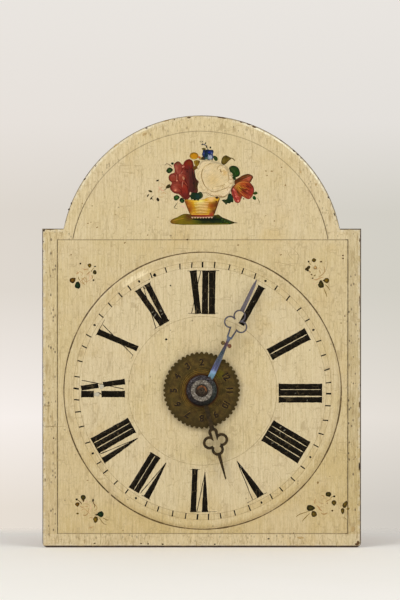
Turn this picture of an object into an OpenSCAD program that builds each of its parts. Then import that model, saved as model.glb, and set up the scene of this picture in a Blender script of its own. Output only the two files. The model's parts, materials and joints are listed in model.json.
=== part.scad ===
// Shield clock with a painted wooden board, an alarm disc and a wooden wheel movement behind it.
// X runs to the right, Y runs back from the board, Z runs up. The clock stands on Z = 0 and the
// back of the board is the plane Y = 0. All lengths are in millimetres.

/* [Shield board] */
// Width of the painted board
shield_w = 240; // [220:1:260]
// Height of the square part, up to the shoulders
shoulder_h = 240; // [232:1:246]
// Radius of the arch on top
arch_r = 106; // [100:1:110]
// Height of the arch's centre above the foot
arch_z = 219.2; // [212:0.2:226]
// Thickness of the board
shield_t = 9; // [7:0.5:12]
// Radius of the two bottom corners
shield_corner_r = 3.75; // [2:0.25:8]
// Width of the sloping border
border_w = 10.2; // [7:0.2:12]
// Drop of the border at the board's edge
border_drop = 1.2; // [0.4:0.1:2]
// Small chamfer along the front edge
edge_chamfer = 0.7; // [0.3:0.1:1.2]
// Height of the dial's centre above the foot
dial_z = 118.5; // [114:0.5:122]
// Outer radius of the raised dial
dial_r = 104.5; // [98:0.5:106]
// Rise of the dial's flat face above the board
dial_rise = 0.8; // [0.4:0.1:1.2]
// Width of the dial's round rim
rim_w = 6; // [4:0.5:8]
// Rise of the rim above the board
rim_rise = 1.5; // [1.3:0.1:2.5]

/* [Alarm disc] */
// Radius over the tips of the teeth
disc_r = 28.95; // [26:0.05:32]
// Number of rounded teeth
disc_teeth = 48; // [36:2:54]
// Radius of each rounded tooth
disc_tooth_r = 1.3; // [1:0.1:1.4]
// Thickness of the disc
disc_t = 1.2; // [0.8:0.1:1.4]
// Air between the dial and the disc
disc_gap = 1.5; // [1:0.1:2.5]

/* [Hour hand] */
// Length from the centre to the tip
hour_len = 69.3; // [64:0.1:76]
// Clock angle of the hand at rest
hour_angle = 164.8; // [0:0.1:360]
// Thickness of the hand
hour_t = 1.2; // [0.8:0.1:1.3]
// Radius of its boss
hour_boss_r = 9; // [8:0.5:10.5]
// Width of the bar round its opening
hour_bar = 2.1; // [1.6:0.1:2.4]

/* [Minute hand] */
// Length from the centre to the tip
minute_len = 92.9; // [86:0.1:98]
// Clock angle of the hand at rest
minute_angle = 26.4; // [0:0.1:360]
// Thickness of the hand
minute_t = 1; // [0.7:0.1:1.2]
// Distance by which its stem stands beside the centre line
minute_offset = 1.9; // [0:0.1:2.4]
// Angle by which it leans back to the centre line
minute_skew = 1.2; // [0:0.1:2]
// Radius of its domed boss
minute_boss_r = 11.5; // [10.5:0.1:13]
// Width of the bar round its opening
minute_bar = 1.15; // [0.9:0.05:1.6]
// Radius of the polished washer in front
washer_r = 8.1; // [7:0.1:9]

/* [Centre tubes] */
// Radius of the fixed steel stud
stud_r = 2.6; // [2.2:0.1:2.8]
// Wall of the minute tube
minute_tube_wall = 1.75; // [1.4:0.05:1.9]
// Wall of the hour tube
hour_tube_wall = 1.15; // [0.9:0.05:1.4]
// Wall of the alarm tube
alarm_tube_wall = 1.25; // [1:0.05:1.5]
// Radial air of a turning fit
running_fit = 0.05; // [0.03:0.01:0.08]
// Air between the alarm tube and the hole in the board
board_hole_air = 1.1; // [0.8:0.1:2]

/* [Motion work] */
// Teeth of the minute tube's wheel
cannon_teeth = 24; // [24:1:24]
// Teeth of the change wheel
change_teeth = 48; // [48:1:48]
// Teeth of the change pinion
change_pinion_teeth = 10; // [10:1:10]
// Teeth of the hour wheel
hour_teeth = 60; // [60:1:60]
// Distance between the hand centre and the main arbor
motion_distance = 39; // [38.5:0.1:40]

/* [Going train] */
// Teeth of the great wheel and of the second wheel
train_teeth = 84; // [84:1:84]
// Rods in each lantern pinion
lantern_rods = 7; // [7:1:7]
// Module of the great wheel
great_module = 0.8; // [0.79:0.005:0.81]
// Module of the second wheel
second_module = 0.62; // [0.61:0.005:0.63]
// Sideways place of the second arbor
second_x = 14.6; // [13:0.1:16]
// Teeth of the escape wheel
escape_teeth = 30; // [24:2:30]
// Radius of the escape wheel
escape_r = 18; // [16:0.5:18.5]
// Height of the anchor's arbor above the escape wheel
anchor_rise = 24; // [23.5:0.1:25]

/* [Movement frame] */
// Width of the top and bottom boards
frame_w = 136; // [132:1:150]
// Depth of the top and bottom boards
frame_d = 118; // [118:1:124]
// Thickness of the top and bottom boards
frame_board_t = 9; // [8:0.5:11]
// Height over the top board
frame_h = 190; // [189:0.5:200]
// Width of the upright boards that hold the wheels
plate_w = 92; // [88:1:96]
// Thickness of the upright boards
plate_t = 7; // [6:0.25:7.5]
// Side of the square corner posts
post_w = 12; // [10:0.5:13]
// Thickness of the back board
back_t = 3; // [2:0.25:4]
// Thickness of the side doors
door_t = 4; // [3.6:0.1:5]
// Air round each side door
door_gap = 0.3; // [0.2:0.05:0.5]
// Radius of the chain holes
chain_hole_r = 5; // [4.5:0.1:6]

/* [Alarm work] */
// Radius of the bell's mouth
bell_r = 36; // [33:0.5:38]
// Height of the bell
bell_h = 33; // [28:0.5:36]
// Wall of the bell
bell_wall = 1.8; // [1.2:0.1:2.4]
// Radius of the alarm's toothed wheel
alarm_wheel_r = 20; // [18.5:0.5:20.5]
// Teeth of the alarm's wheel
alarm_wheel_teeth = 24; // [12:12:24]
// Radius of the hammer's head
hammer_r = 4; // [3:0.25:5]

/* [Wall fittings] */
// Radius of the hanging hole
hang_hole_r = 4; // [3:0.25:6]
// Thickness of the hanging plate
hang_plate_t = 1.5; // [1:0.1:2.5]
// Half the width of the hanging plate
hang_half_w = 14; // [10:0.5:18]
// Distance from the movement's back to the wall
wall_gap = 12; // [11:0.5:18]

/* [Hidden] */

eps = 0.01;

// Depths of everything in front of the board, measured back from its rear plane
board_front_y = -shield_t;
dial_front_y = board_front_y - dial_rise;
disc_back_y = board_front_y - rim_rise - disc_gap;
disc_front_y = disc_back_y - disc_t;
hand_air = 1.2;
hour_back_y = disc_front_y - hand_air;
hour_front_y = hour_back_y - hour_t;
minute_boss_h = 1.8;
minute_boss_back_y = hour_front_y - hand_air;
minute_boss_front_y = minute_boss_back_y - minute_boss_h;
minute_front_y = minute_boss_back_y - minute_t - 0.3;
washer_t = 0.7;
washer_front_y = minute_boss_front_y - washer_t;
tube_proud = 0.8;
cannon_front_y = washer_front_y - tube_proud;
stud_front_y = cannon_front_y - 0.5;
stud_pit_r = 0.8;
stud_pit_depth = 0.6;
washer_groove = 0.9;

// Radii of the nested tubes
minute_bore_r = stud_r + running_fit;
minute_tube_r = stud_r + running_fit + minute_tube_wall;
hour_bore_r = minute_tube_r + running_fit;
hour_tube_r = hour_bore_r + hour_tube_wall;
alarm_bore_r = hour_tube_r + running_fit;
alarm_tube_r = alarm_bore_r + alarm_tube_wall;
board_hole_r = alarm_tube_r + board_hole_air;

// Upright boards and the two bays between them
inner_h = frame_h - frame_board_t;
back_board_y = frame_d - 1 - back_t;
wall_y = frame_d + wall_gap;
plate_front_y = 14;
rear_air = 3;
bays = back_board_y - rear_air - 3 * plate_t - plate_front_y;
front_share = 41 / 76;
bay_front = bays * front_share;
bay_rear = bays - bay_front;

// Depths of the motion work behind the board
cam_front_y = 0.8;
cam_t = 2;
alarm_tube_back_y = cam_front_y + cam_t + 0.4;
hour_wheel_front_y = alarm_tube_back_y + 0.7;
hour_wheel_t = 1.4;
change_pinion_front_y = hour_wheel_front_y - 0.3;
change_wheel_front_y = hour_wheel_front_y + hour_wheel_t + 1.6;
change_wheel_t = 2;
change_wheel_back_y = change_wheel_front_y + change_wheel_t;
stud_flange_y = change_wheel_back_y + 0.4;
stud_flange_r = 6;
front_plate_y = plate_front_y;
middle_plate_y = front_plate_y + plate_t + bay_front;
rear_plate_y = middle_plate_y + plate_t + bay_rear;
plate_back = [front_plate_y + plate_t, middle_plate_y + plate_t, rear_plate_y + plate_t];
plate_front = [front_plate_y, middle_plate_y, rear_plate_y];

// Gear sizes that follow from the distances
cannon_module = 2 * motion_distance / (cannon_teeth + change_teeth);
hour_module = 2 * motion_distance / (change_pinion_teeth + hour_teeth);
motion_backlash = 0.22;
function leg(m) = sqrt(pow((train_teeth + lantern_rods) * m / 2, 2) - pow(second_x, 2));
great_z = dial_z - motion_distance;
anchor_drop = 20.02;
train_scale = (inner_h - anchor_drop - great_z) / (leg(great_module) + leg(second_module) + anchor_rise);
great_pitch_r = train_teeth * great_module / 2 * train_scale;
great_lantern_r = lantern_rods * great_module / 2 * train_scale;
second_pitch_r = train_teeth * second_module / 2 * train_scale;
second_lantern_r = lantern_rods * second_module / 2 * train_scale;
escape_tip_r = escape_r * train_scale;
anchor_lift = anchor_rise * train_scale;
great_rod_r = 0.55;
second_rod_r = 0.45;
tooth_air = 0.1;

// Places of the arbors, as sideways place and height
great_at = [0, great_z];
second_at = great_at + train_scale * [second_x, leg(great_module)];
escape_at = [0, second_at[1] + train_scale * leg(second_module)];
anchor_at = [0, escape_at[1] + anchor_lift];
alarm_at = [20, 68];
hammer_at = [30, 105];
release_at = [-38, dial_z + 16.5];
great_to_second = atan2(second_at[1] - great_at[1], second_at[0] - great_at[0]);
second_to_escape = atan2(escape_at[1] - second_at[1], escape_at[0] - second_at[0]);

// Radii of arbors and pivots
great_arbor_r = 3;
great_front_r = 2;
great_pivot_r = 1.5;
thin_arbor_r = 2;
thin_pivot_r = 1.1;
anchor_arbor_r = 1.5;
release_arbor_r = 1.5;
bush_wall = 1.4;
pass_air = 1.2;

// Depths of the wheels between the front and the middle board
great_wheel_y = plate_back[0] + 5;
great_wheel_t = 2.2;
ratchet_air = 0.4;
ratchet_y = great_wheel_y + great_wheel_t + ratchet_air;
ratchet_t = 2.6;
sprocket_back_y = ratchet_y + bay_front * 0.4;
second_wheel_y = middle_plate_y - bay_front * 13 / 41;
second_wheel_t = 1.6;
escape_wheel_y = plate_back[0] + bay_front * 17 / 41;
escape_wheel_t = 1.4;

// Depths of the wheels between the middle and the rear board
alarm_wheel_y = rear_plate_y - bay_rear * 15 / 35;
alarm_wheel_t = 1.6;
alarm_ratchet_y = alarm_wheel_y - ratchet_air - ratchet_t;
alarm_sprocket_front_y = alarm_ratchet_y - bay_rear * 13 / 35;
hammer_y = rear_plate_y - bay_rear * 18 / 35;

// Frame of the movement
half_w = frame_w / 2;
post_outer_x = half_w - door_t - door_gap;
post_front_y = 1;
post_back_y = back_board_y;
tenon_w = 14;
tenon_l = 4;
tenon_x = plate_w / 2 - 12;
dowel_r = 3;
dowel_l = 5;
chain_x = 11;
alarm_chain_x = 8.5;
going_first_y = ratchet_y + ratchet_t + 1.4;
alarm_last_y = alarm_ratchet_y - 1;
going_chain_y = (going_first_y + sprocket_back_y) / 2;
alarm_chain_y = (alarm_sprocket_front_y + alarm_last_y) / 2;

// Click and ratchet, shared by the going and the alarm side
ratchet_teeth = 12;
going_ratchet_r = 14;
alarm_ratchet_r = 7;
ratchet_depth = 2.2;
click_air = 0.2;
click_pin_r = 1.2;

// Bell, hammer and their places
bell_at = [0, hammer_y];
bell_mouth_z = frame_h + 9;
bell_post_r = 3;
hammer_strike_z = bell_mouth_z + 7;
hammer_air = 2;
hammer_len = 12;
hammer_wire_r = 1.2;
hammer_swing = 10;
hammer_end = [bell_r + hammer_air + hammer_len / 2, hammer_strike_z];

// Release lever
cam_r = 8.6;
cam_lobe_r = 13;
lever_wire_r = 1.2;
lever_air = 0.4;
lever_y = cam_front_y + cam_t / 2;

// Points round a circle, as a place at radius r and angle a
function polar(r, a) = [r * cos(a), r * sin(a)];

// Involute angle of a flank at pressure angle a
function inv(a) = tan(a) * 180 / PI - a;

// Half the angle that a tooth takes at radius r
function half_tooth(n, m, back, r) =
    let (base = n * m / 2 * cos(20))
    90 / n - back / 2 / (n * m / 2) * 180 / PI + inv(20) - inv(acos(base / max(r, base)));

// Outline of a wheel with involute teeth: add and ded are shares of the module
function gear_points(n, m, add, ded, back) =
    let (p = n * m / 2, root = p - ded * m, tip = p + add * m)
    let (radii = [root, p, p + add * m * 0.55, tip])
    [
        for (i = [0 : n - 1])
            each [
                for (k = [0 : 3]) polar(radii[k], i * 360 / n - half_tooth(n, m, back, radii[k])),
                for (k = [3 : -1 : 0]) polar(radii[k], i * 360 / n + half_tooth(n, m, back, radii[k]))
            ]
    ];

// Place of a lantern rod beside a wheel of pitch radius p, after the wheel has turned by t
function rod_path(p, q, t) =
    (p + q) * [cos(t), sin(t)] - q * [cos(t * (p + q) / q), sin(t * (p + q) / q)];

// Point of the flank that clears the rod by the given distance
function flank_point(p, q, off, t) =
    let (e = rod_path(p, q, t), c = polar(p, t), d = c - e)
    e + d / norm(d) * off;

// Outline of a wheel whose teeth drive a lantern pinion, with a gap at angle 0
function lantern_wheel_points(n, p, q, rod) =
    let (off = rod + tooth_air, turn = 360 / n, ts = [0.4, 2.1, 3.1])
    let (f = [for (t = ts) flank_point(p, q, off, t)])
    let (rr = [for (v = f) norm(v)], aa = [for (v = f) atan2(v[1], v[0])])
    let (root = p - rod - 0.3)
    [
        for (i = [0 : n - 1])
            each [
                polar(root, i * turn + aa[0]),
                for (k = [0 : 2]) polar(rr[k], i * turn + aa[k]),
                for (k = [2 : -1 : 0]) polar(rr[k], (i + 1) * turn - aa[k]),
                polar(root, (i + 1) * turn - aa[0])
            ]
    ];

// Outline of a wheel with slanting teeth whose steep faces look anticlockwise
function saw_points(n, root, tip) = [
    for (i = [0 : n - 1]) each [polar(root, i * 360 / n), polar(tip, (i + 1) * 360 / n)]
];

// Flat shape drawn as seen from the front, given its depth from y0 back to y1
module slab(y0, y1) {
    translate([0, y1, 0])
        rotate([90, 0, 0])
            linear_extrude(y1 - y0)
                children();
}

// Turned shape from a list of radius and depth
module turned(at, points) {
    translate([at[0], 0, at[1]])
        rotate([-90, 0, 0])
            rotate_extrude($fn = 96)
                polygon(points);
}

// Plain round rod along the depth
module rod(at, r, y0, y1) {
    translate([at[0], y0, at[1]])
        rotate([-90, 0, 0])
            cylinder(h = y1 - y0, r = r, $fn = 64);
}

// Straight wire between two places in the plane at depth y
module wire(a, b, r, y) {
    d = b - a;
    translate([a[0], y, a[1]])
        rotate([0, atan2(d[0], d[1]), 0])
            cylinder(h = norm(d), r = r, $fn = 32);
}

// Round shape of the given radius at a place in a flat drawing
module dot(p, r) {
    translate(p)
        circle(r, $fn = 64);
}

// Spoked wheel: rim and hub are the radii where the openings end
module spokes(rim, hub, n, w) {
    difference() {
        circle(rim, $fn = 96);
        circle(hub, $fn = 64);
        for (i = [0 : n - 1])
            rotate(i * 360 / n + 45)
                translate([0, -w / 2])
                    square([rim + 1, w]);
    }
}

// Board outline of the square part with its two round bottom corners
module square_outline() {
    r = shield_corner_r;
    translate([-shield_w / 2, r])
        square([shield_w, shoulder_h - r]);
    translate([-shield_w / 2 + r, 0])
        square([shield_w - 2 * r, r + eps]);
    for (s = [-1, 1])
        dot([s * (shield_w / 2 - r), r], r);
}

// Wedge that slopes the border, along X, with the board's edge on Z = 0
module border_wedge(length) {
    slope = border_drop / border_w;
    chamfer_y = board_front_y + border_drop;
    translate([-length / 2, 0, 0])
        rotate([90, 0, 90])
            linear_extrude(length)
                polygon([
                    [board_front_y - 1, -1],
                    [chamfer_y + edge_chamfer + 1, -1],
                    [chamfer_y + edge_chamfer, 0],
                    [chamfer_y - slope * edge_chamfer, edge_chamfer],
                    [board_front_y, border_w],
                    [board_front_y - 1, border_w]
                ]);
}

module shield_board() {
    slope = border_drop / border_w;
    arc = [for (i = [0 : 8]) [dial_r - rim_w * i / 8, sin(180 * i / 8)]];
    color("khaki")
    difference() {
        union() {
            difference() {
                slab(board_front_y, 0)
                    square_outline();
                border_wedge(shield_w + 2);
                translate([0, 0, shoulder_h])
                    mirror([0, 0, 1])
                        border_wedge(shield_w + 2);
                for (s = [-1, 1])
                    translate([s * shield_w / 2, 0, shoulder_h / 2])
                        rotate([0, -s * 90, 0])
                            border_wedge(shoulder_h + 2);
            }
            turned([0, arch_z], [
                [0, 0],
                [arch_r, 0],
                [arch_r, board_front_y + border_drop + edge_chamfer],
                [arch_r - edge_chamfer, board_front_y + border_drop - slope * edge_chamfer],
                [arch_r - border_w, board_front_y],
                [0, board_front_y]
            ]);
            turned([0, dial_z], concat(
                [[0, board_front_y + 1], [dial_r, board_front_y + 1]],
                [for (p = arc) [p[0], board_front_y - (p[0] < dial_r - rim_w / 2
                    ? dial_rise + (rim_rise - dial_rise) * p[1] : rim_rise * p[1])]],
                [[0, dial_front_y]]
            ));
        }
        rod([0, dial_z], board_hole_r, disc_front_y, 1);
    }
}

batten_y = 12;
batten_h = 14;
batten_half_w = 58;
lift_pin_r = 2.5;
lift_pin_air = 0.08;
lift_pin_x = 40;
lift_pin_head_r = 4;
lift_pin_head_h = 6;
lift_travel = 25;

module shield_batten_top() {
    color("peru")
    difference() {
        translate([-batten_half_w, 0, frame_h + door_gap])
            cube([2 * batten_half_w, batten_y, batten_h]);
        for (s = [-1, 1])
            translate([s * lift_pin_x, batten_y / 2, frame_h - 1])
                cylinder(h = batten_h + 2, r = lift_pin_r + lift_pin_air, $fn = 48);
    }
}

module shield_batten_bottom() {
    half = post_outer_x - post_w - 1;
    color("peru")
    translate([-half, 0, frame_board_t])
        cube([2 * half, batten_y - 4, batten_h - 3]);
}

module shield_pin(s) {
    head_z = frame_h + door_gap + batten_h + 0.3;
    color("saddlebrown")
    translate([s * lift_pin_x, batten_y / 2, 0])
        rotate_extrude($fn = 64)
            polygon([
                [0, inner_h - 3],
                [lift_pin_r - 0.6, inner_h - 3],
                [lift_pin_r, inner_h - 1],
                [lift_pin_r, head_z],
                [lift_pin_head_r, head_z],
                [lift_pin_head_r, head_z + lift_pin_head_h - 1],
                [lift_pin_head_r - 1, head_z + lift_pin_head_h],
                [0, head_z + lift_pin_head_h]
            ]);
}

module shield_pin_left() {
    shield_pin(-1);
}

module shield_pin_right() {
    shield_pin(1);
}

groove_w = 0.7;
groove_depth = 0.25;

module alarm_disc() {
    color("darkgoldenrod")
    difference() {
        slab(disc_front_y, disc_back_y)
            translate([0, dial_z])
                difference() {
                    union() {
                        circle(disc_r - disc_tooth_r, $fn = 96);
                        for (i = [0 : disc_teeth - 1])
                            dot(polar(disc_r - disc_tooth_r, i * 360 / disc_teeth), disc_tooth_r);
                    }
                    circle(alarm_tube_r, $fn = 64);
                }
        for (r = [13.2, 15, 16.6])
            turned([0, dial_z], [
                [r, disc_front_y - 1],
                [r + groove_w, disc_front_y - 1],
                [r + groove_w, disc_front_y + groove_depth],
                [r, disc_front_y + groove_depth]
            ]);
    }
}

module alarm_tube() {
    color("goldenrod")
    turned([0, dial_z], [
        [alarm_bore_r, disc_front_y - 0.4],
        [alarm_tube_r, disc_front_y - 0.4],
        [alarm_tube_r, alarm_tube_back_y],
        [alarm_bore_r, alarm_tube_back_y]
    ]);
}

cam_lobe_angle = -60;
cam_lobe_half = 8;

module alarm_cam() {
    color("goldenrod")
    slab(cam_front_y, cam_front_y + cam_t)
        translate([0, dial_z])
            difference() {
                union() {
                    circle(cam_r, $fn = 96);
                    polygon([
                        polar(cam_r - 1, cam_lobe_angle - cam_lobe_half - 8),
                        polar(cam_lobe_r, cam_lobe_angle - cam_lobe_half),
                        polar(cam_lobe_r, cam_lobe_angle + cam_lobe_half),
                        polar(cam_r - 1, cam_lobe_angle + cam_lobe_half + 8)
                    ]);
                }
                circle(alarm_tube_r, $fn = 64);
            }
}

// Lobes of the hour hand's opening: sideways place, distance from the centre, outer radius
hour_near_u = 32.7;
hour_side_u = 39.6;
hour_side_v = 4.7;
hour_far_u = 46;
hour_near_r = 3.7;
hour_side_r = 5;
hour_far_r = 4.7;
hour_stem_half = 1.7;
hour_blade_half = 1.35;
hour_tip_half = 0.55;

module hour_hand_outline() {
    difference() {
        union() {
            circle(hour_boss_r, $fn = 96);
            translate([-hour_stem_half, 0])
                square([2 * hour_stem_half, hour_near_u]);
            dot([0, hour_near_u], hour_near_r);
            translate([-hour_near_r + 0.4, hour_near_u])
                square([2 * hour_near_r - 0.8, hour_side_u - hour_near_u]);
            for (s = [-1, 1])
                dot([s * hour_side_v, hour_side_u], hour_side_r);
            dot([0, hour_far_u], hour_far_r);
            polygon([
                [-hour_blade_half, hour_far_u + hour_far_r - 0.5],
                [hour_blade_half, hour_far_u + hour_far_r - 0.5],
                [hour_tip_half, hour_len - hour_tip_half],
                [-hour_tip_half, hour_len - hour_tip_half]
            ]);
            dot([0, hour_len - hour_tip_half], hour_tip_half);
        }
        dot([0, hour_near_u], hour_near_r - hour_bar - 0.35);
        translate([-hour_near_r + hour_bar + 0.35, hour_near_u])
            square([2 * (hour_near_r - hour_bar) - 0.7, hour_side_u - hour_near_u]);
        for (s = [-1, 1])
            dot([s * hour_side_v, hour_side_u], hour_side_r - hour_bar);
        dot([0, (hour_side_u + hour_far_u) / 2 - 1.2], hour_side_v - hour_bar + 0.5);
        dot([0, hour_far_u], hour_far_r - hour_bar);
    }
}

module hour_hand() {
    color([0.22, 0.16, 0.1])
    difference() {
        slab(hour_front_y, hour_back_y)
            translate([0, dial_z])
                rotate(-hour_angle)
                    hour_hand_outline();
        rod([0, dial_z], hour_tube_r, hour_front_y - 1, hour_back_y + 1);
    }
}

module hour_wheel() {
    back_y = hour_wheel_front_y + hour_wheel_t;
    rim_r = hour_module * hour_teeth / 2 - 4.5;
    color("goldenrod")
    difference() {
        union() {
            slab(hour_wheel_front_y, back_y)
                translate([0, dial_z])
                    difference() {
                        polygon(gear_points(hour_teeth, hour_module, 0.8, 1.15, motion_backlash));
                        spokes(rim_r, 12, 4, 5);
                    }
            rod([0, dial_z], hour_tube_r, hour_front_y - 0.4, back_y);
        }
        rod([0, dial_z], hour_bore_r, hour_front_y - 1, back_y + 1);
    }
}

// Lobes of the minute hand's opening
minute_side_u = 55.8;
minute_side_v = 4.5;
minute_top_u = 62.9;
minute_lobe_r = 4.7;
minute_neck_u = 44.4;
minute_ball_u = 39.2;
minute_ball_v = 2.65;
minute_ball_r = 1.6;
minute_stem_half = 2.1;
minute_waist_half = 1.1;
minute_blade_half = 1.6;
minute_blade_end_half = 1.2;
minute_tip_half = 0.3;

module minute_hand_outline() {
    bar = minute_bar;
    difference() {
        union() {
            polygon([
                [-minute_stem_half, 8],
                [minute_stem_half, 8],
                [minute_stem_half, 24],
                [minute_waist_half, minute_ball_u - 1],
                [minute_waist_half, minute_ball_u + 2],
                [1.5, minute_neck_u],
                [-1.5, minute_neck_u],
                [-minute_waist_half, minute_ball_u + 2],
                [-minute_waist_half, minute_ball_u - 1],
                [-minute_stem_half, 24]
            ]);
            for (s = [-1, 1])
                dot([s * minute_ball_v, minute_ball_u], minute_ball_r);
            translate([-minute_ball_v, minute_ball_u - 0.9])
                square([2 * minute_ball_v, 1.8]);
            polygon([
                [-2.1, minute_neck_u - 0.2],
                [2.1, minute_neck_u - 0.2],
                [3.2, minute_side_u - 3],
                [minute_side_v, minute_side_u],
                [-minute_side_v, minute_side_u],
                [-3.2, minute_side_u - 3]
            ]);
            for (s = [-1, 1])
                dot([s * minute_side_v, minute_side_u], minute_lobe_r);
            dot([0, minute_top_u], minute_lobe_r);
            polygon([
                [-minute_blade_half, minute_top_u + minute_lobe_r - 0.6],
                [minute_blade_half, minute_top_u + minute_lobe_r - 0.6],
                [minute_blade_end_half, minute_len - 5],
                [minute_tip_half, minute_len],
                [-minute_tip_half, minute_len],
                [-minute_blade_end_half, minute_len - 5]
            ]);
        }
        polygon([
            [-2.1 + bar, minute_neck_u + bar],
            [2.1 - bar, minute_neck_u + bar],
            [3.2 - bar, minute_side_u - 3],
            [minute_side_v - 1, minute_side_u],
            [0, minute_top_u],
            [-minute_side_v + 1, minute_side_u],
            [-3.2 + bar, minute_side_u - 3]
        ]);
        for (s = [-1, 1])
            dot([s * minute_side_v, minute_side_u], minute_lobe_r - bar);
        dot([0, minute_top_u], minute_lobe_r - bar);
    }
}

module minute_hand() {
    color([0.3, 0.32, 0.45])
    difference() {
        union() {
            slab(minute_front_y, minute_front_y + minute_t)
                translate([0, dial_z])
                    rotate(-minute_angle)
                        translate([minute_offset, 0])
                            rotate(minute_skew)
                                minute_hand_outline();
            turned([0, dial_z], [
                [0, minute_boss_back_y],
                [minute_boss_r, minute_boss_back_y],
                [minute_boss_r, minute_boss_back_y - 0.3],
                [minute_boss_r - 0.5, minute_boss_back_y - 0.9],
                [minute_boss_r - 1.4, minute_boss_back_y - 1.4],
                [washer_r + 0.2, minute_boss_front_y],
                [0, minute_boss_front_y]
            ]);
        }
        rod([0, dial_z], minute_tube_r, washer_front_y - 1, minute_boss_back_y + 1);
    }
}

module hand_washer() {
    color("silver")
    turned([0, dial_z], [
        [minute_tube_r, minute_boss_front_y],
        [washer_r, minute_boss_front_y],
        [washer_r, washer_front_y + 0.2],
        [washer_r - 0.2, washer_front_y],
        [minute_tube_r + washer_groove, washer_front_y],
        [minute_tube_r, washer_front_y + 0.5]
    ]);
}

module cannon_tube() {
    color("goldenrod")
    turned([0, dial_z], [
        [minute_bore_r, cannon_front_y],
        [minute_tube_r - 0.3, cannon_front_y],
        [minute_tube_r, cannon_front_y + 0.3],
        [minute_tube_r, change_wheel_back_y],
        [minute_bore_r, change_wheel_back_y]
    ]);
}

module cannon_wheel() {
    color("goldenrod")
    slab(change_wheel_front_y, change_wheel_back_y)
        translate([0, dial_z])
            difference() {
                polygon(gear_points(cannon_teeth, cannon_module, 0.85, 1.15, motion_backlash));
                circle(minute_tube_r, $fn = 64);
            }
}

module centre_stud() {
    color("slategray")
    turned([0, dial_z], [
        [0, stud_front_y + stud_pit_depth],
        [stud_pit_r, stud_front_y],
        [stud_r - 0.3, stud_front_y],
        [stud_r, stud_front_y + 0.3],
        [stud_r, stud_flange_y],
        [stud_flange_r, stud_flange_y],
        [stud_flange_r, front_plate_y],
        [stud_r, front_plate_y],
        [stud_r, plate_back[0]],
        [0, plate_back[0]]
    ]);
}

module change_wheel() {
    color("goldenrod")
    slab(change_wheel_front_y, change_wheel_back_y)
        translate(great_at)
            difference() {
                rotate(180 / change_teeth)
                    polygon(gear_points(change_teeth, cannon_module, 0.85, 1.15, motion_backlash));
                spokes(cannon_module * change_teeth / 2 - 4.5, 10, 4, 4.5);
                circle(great_front_r + running_fit, $fn = 64);
            }
}

module change_pinion() {
    color("goldenrod")
    slab(change_pinion_front_y, change_wheel_front_y)
        translate(great_at)
            difference() {
                polygon(gear_points(change_pinion_teeth, hour_module, 0.75, 1.2, motion_backlash));
                circle(great_front_r + running_fit, $fn = 64);
            }
}

friction_front_y = change_wheel_back_y + 0.3;
friction_back_y = friction_front_y + 0.8;
collar_r = 4;

module friction_spring() {
    color("goldenrod")
    slab(friction_front_y, friction_back_y)
        translate(great_at)
            difference() {
                union() {
                    circle(5, $fn = 64);
                    for (i = [0 : 2])
                        rotate(i * 120 + 90) {
                            translate([0, -1.5])
                                square([11, 3]);
                            dot([11, 0], 1.5);
                        }
                }
                circle(great_front_r, $fn = 64);
            }
}

module great_arbor() {
    back_y = middle_plate_y + plate_t - 2;
    color("slategray")
    turned(great_at, [
        [0, change_pinion_front_y - 1.4],
        [great_front_r, change_pinion_front_y - 1.4],
        [great_front_r, friction_back_y],
        [collar_r, friction_back_y],
        [collar_r, front_plate_y - 0.8],
        [great_front_r, front_plate_y - 0.8],
        [great_front_r, plate_back[0] + 0.4],
        [great_arbor_r, plate_back[0] + 0.4],
        [great_arbor_r, sprocket_back_y + 0.2],
        [collar_r + 1, sprocket_back_y + 0.2],
        [collar_r + 1, sprocket_back_y + 2.4],
        [great_arbor_r, sprocket_back_y + 2.4],
        [great_arbor_r, middle_plate_y - 0.4],
        [great_pivot_r, middle_plate_y - 0.4],
        [great_pivot_r, back_y],
        [0, back_y]
    ]);
}

click_boss_r = 2.9;
click_spring_t = 0.7;

// Place of a click's pivot beside its ratchet: the nose then lifts straight outwards
function click_pivot(tip) =
    let (h = tip - ratchet_depth + 0.7, r = tip + click_boss_r + 0.4)
    [-sqrt(r * r - h * h), h];

module great_wheel() {
    hole_far = great_pitch_r - 3.1;
    hole_near = going_ratchet_r + click_boss_r + 4.6;
    hole_r = (hole_far - hole_near) / 2;
    color("goldenrod")
    union() {
        slab(great_wheel_y, great_wheel_y + great_wheel_t)
            translate(great_at)
                difference() {
                    rotate(great_to_second)
                        polygon(lantern_wheel_points(train_teeth, great_pitch_r,
                            great_lantern_r, great_rod_r));
                    for (i = [0 : 7])
                        rotate(i * 45 + 85)
                            dot([hole_near + hole_r, 0], hole_r);
                    circle(great_arbor_r, $fn = 64);
                }
        rod(great_at + click_pivot(going_ratchet_r), click_pin_r,
            great_wheel_y + great_wheel_t - eps, ratchet_y + ratchet_t + 0.3);
    }
}

// Ratchet wheel, two flanges, drum and a ring of spikes that hold the chain
module sprocket(at, bore, tip, drum, spikes, y_ratchet, y_first, y_last) {
    mid = (y_first + y_last) / 2;
    neck = min(drum, tip - ratchet_depth - 0.5);
    difference() {
        union() {
            slab(y_ratchet, y_ratchet + ratchet_t)
                translate(at)
                    rotate(90)
                        polygon(saw_points(ratchet_teeth, tip - ratchet_depth, tip));
            rod(at, neck, min(y_ratchet, y_first), max(y_ratchet + ratchet_t, y_last));
            rod(at, drum, y_first, y_last);
            rod(at, drum + 5, y_first, y_first + 1.6);
            rod(at, drum + 5, y_last - 1.6, y_last);
            for (i = [0 : spikes - 1])
                translate([at[0], mid, at[1]])
                    rotate([0, i * 360 / spikes, 0])
                        cylinder(h = drum + 3, r = 0.9, $fn = 24);
        }
        rod(at, bore, min(y_ratchet, y_first) - 1, max(y_ratchet + ratchet_t, y_last) + 1);
    }
}

module going_sprocket() {
    color("burlywood")
    sprocket(great_at, great_arbor_r + running_fit, going_ratchet_r, 8, 8,
        ratchet_y, going_first_y, sprocket_back_y);
}

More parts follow.
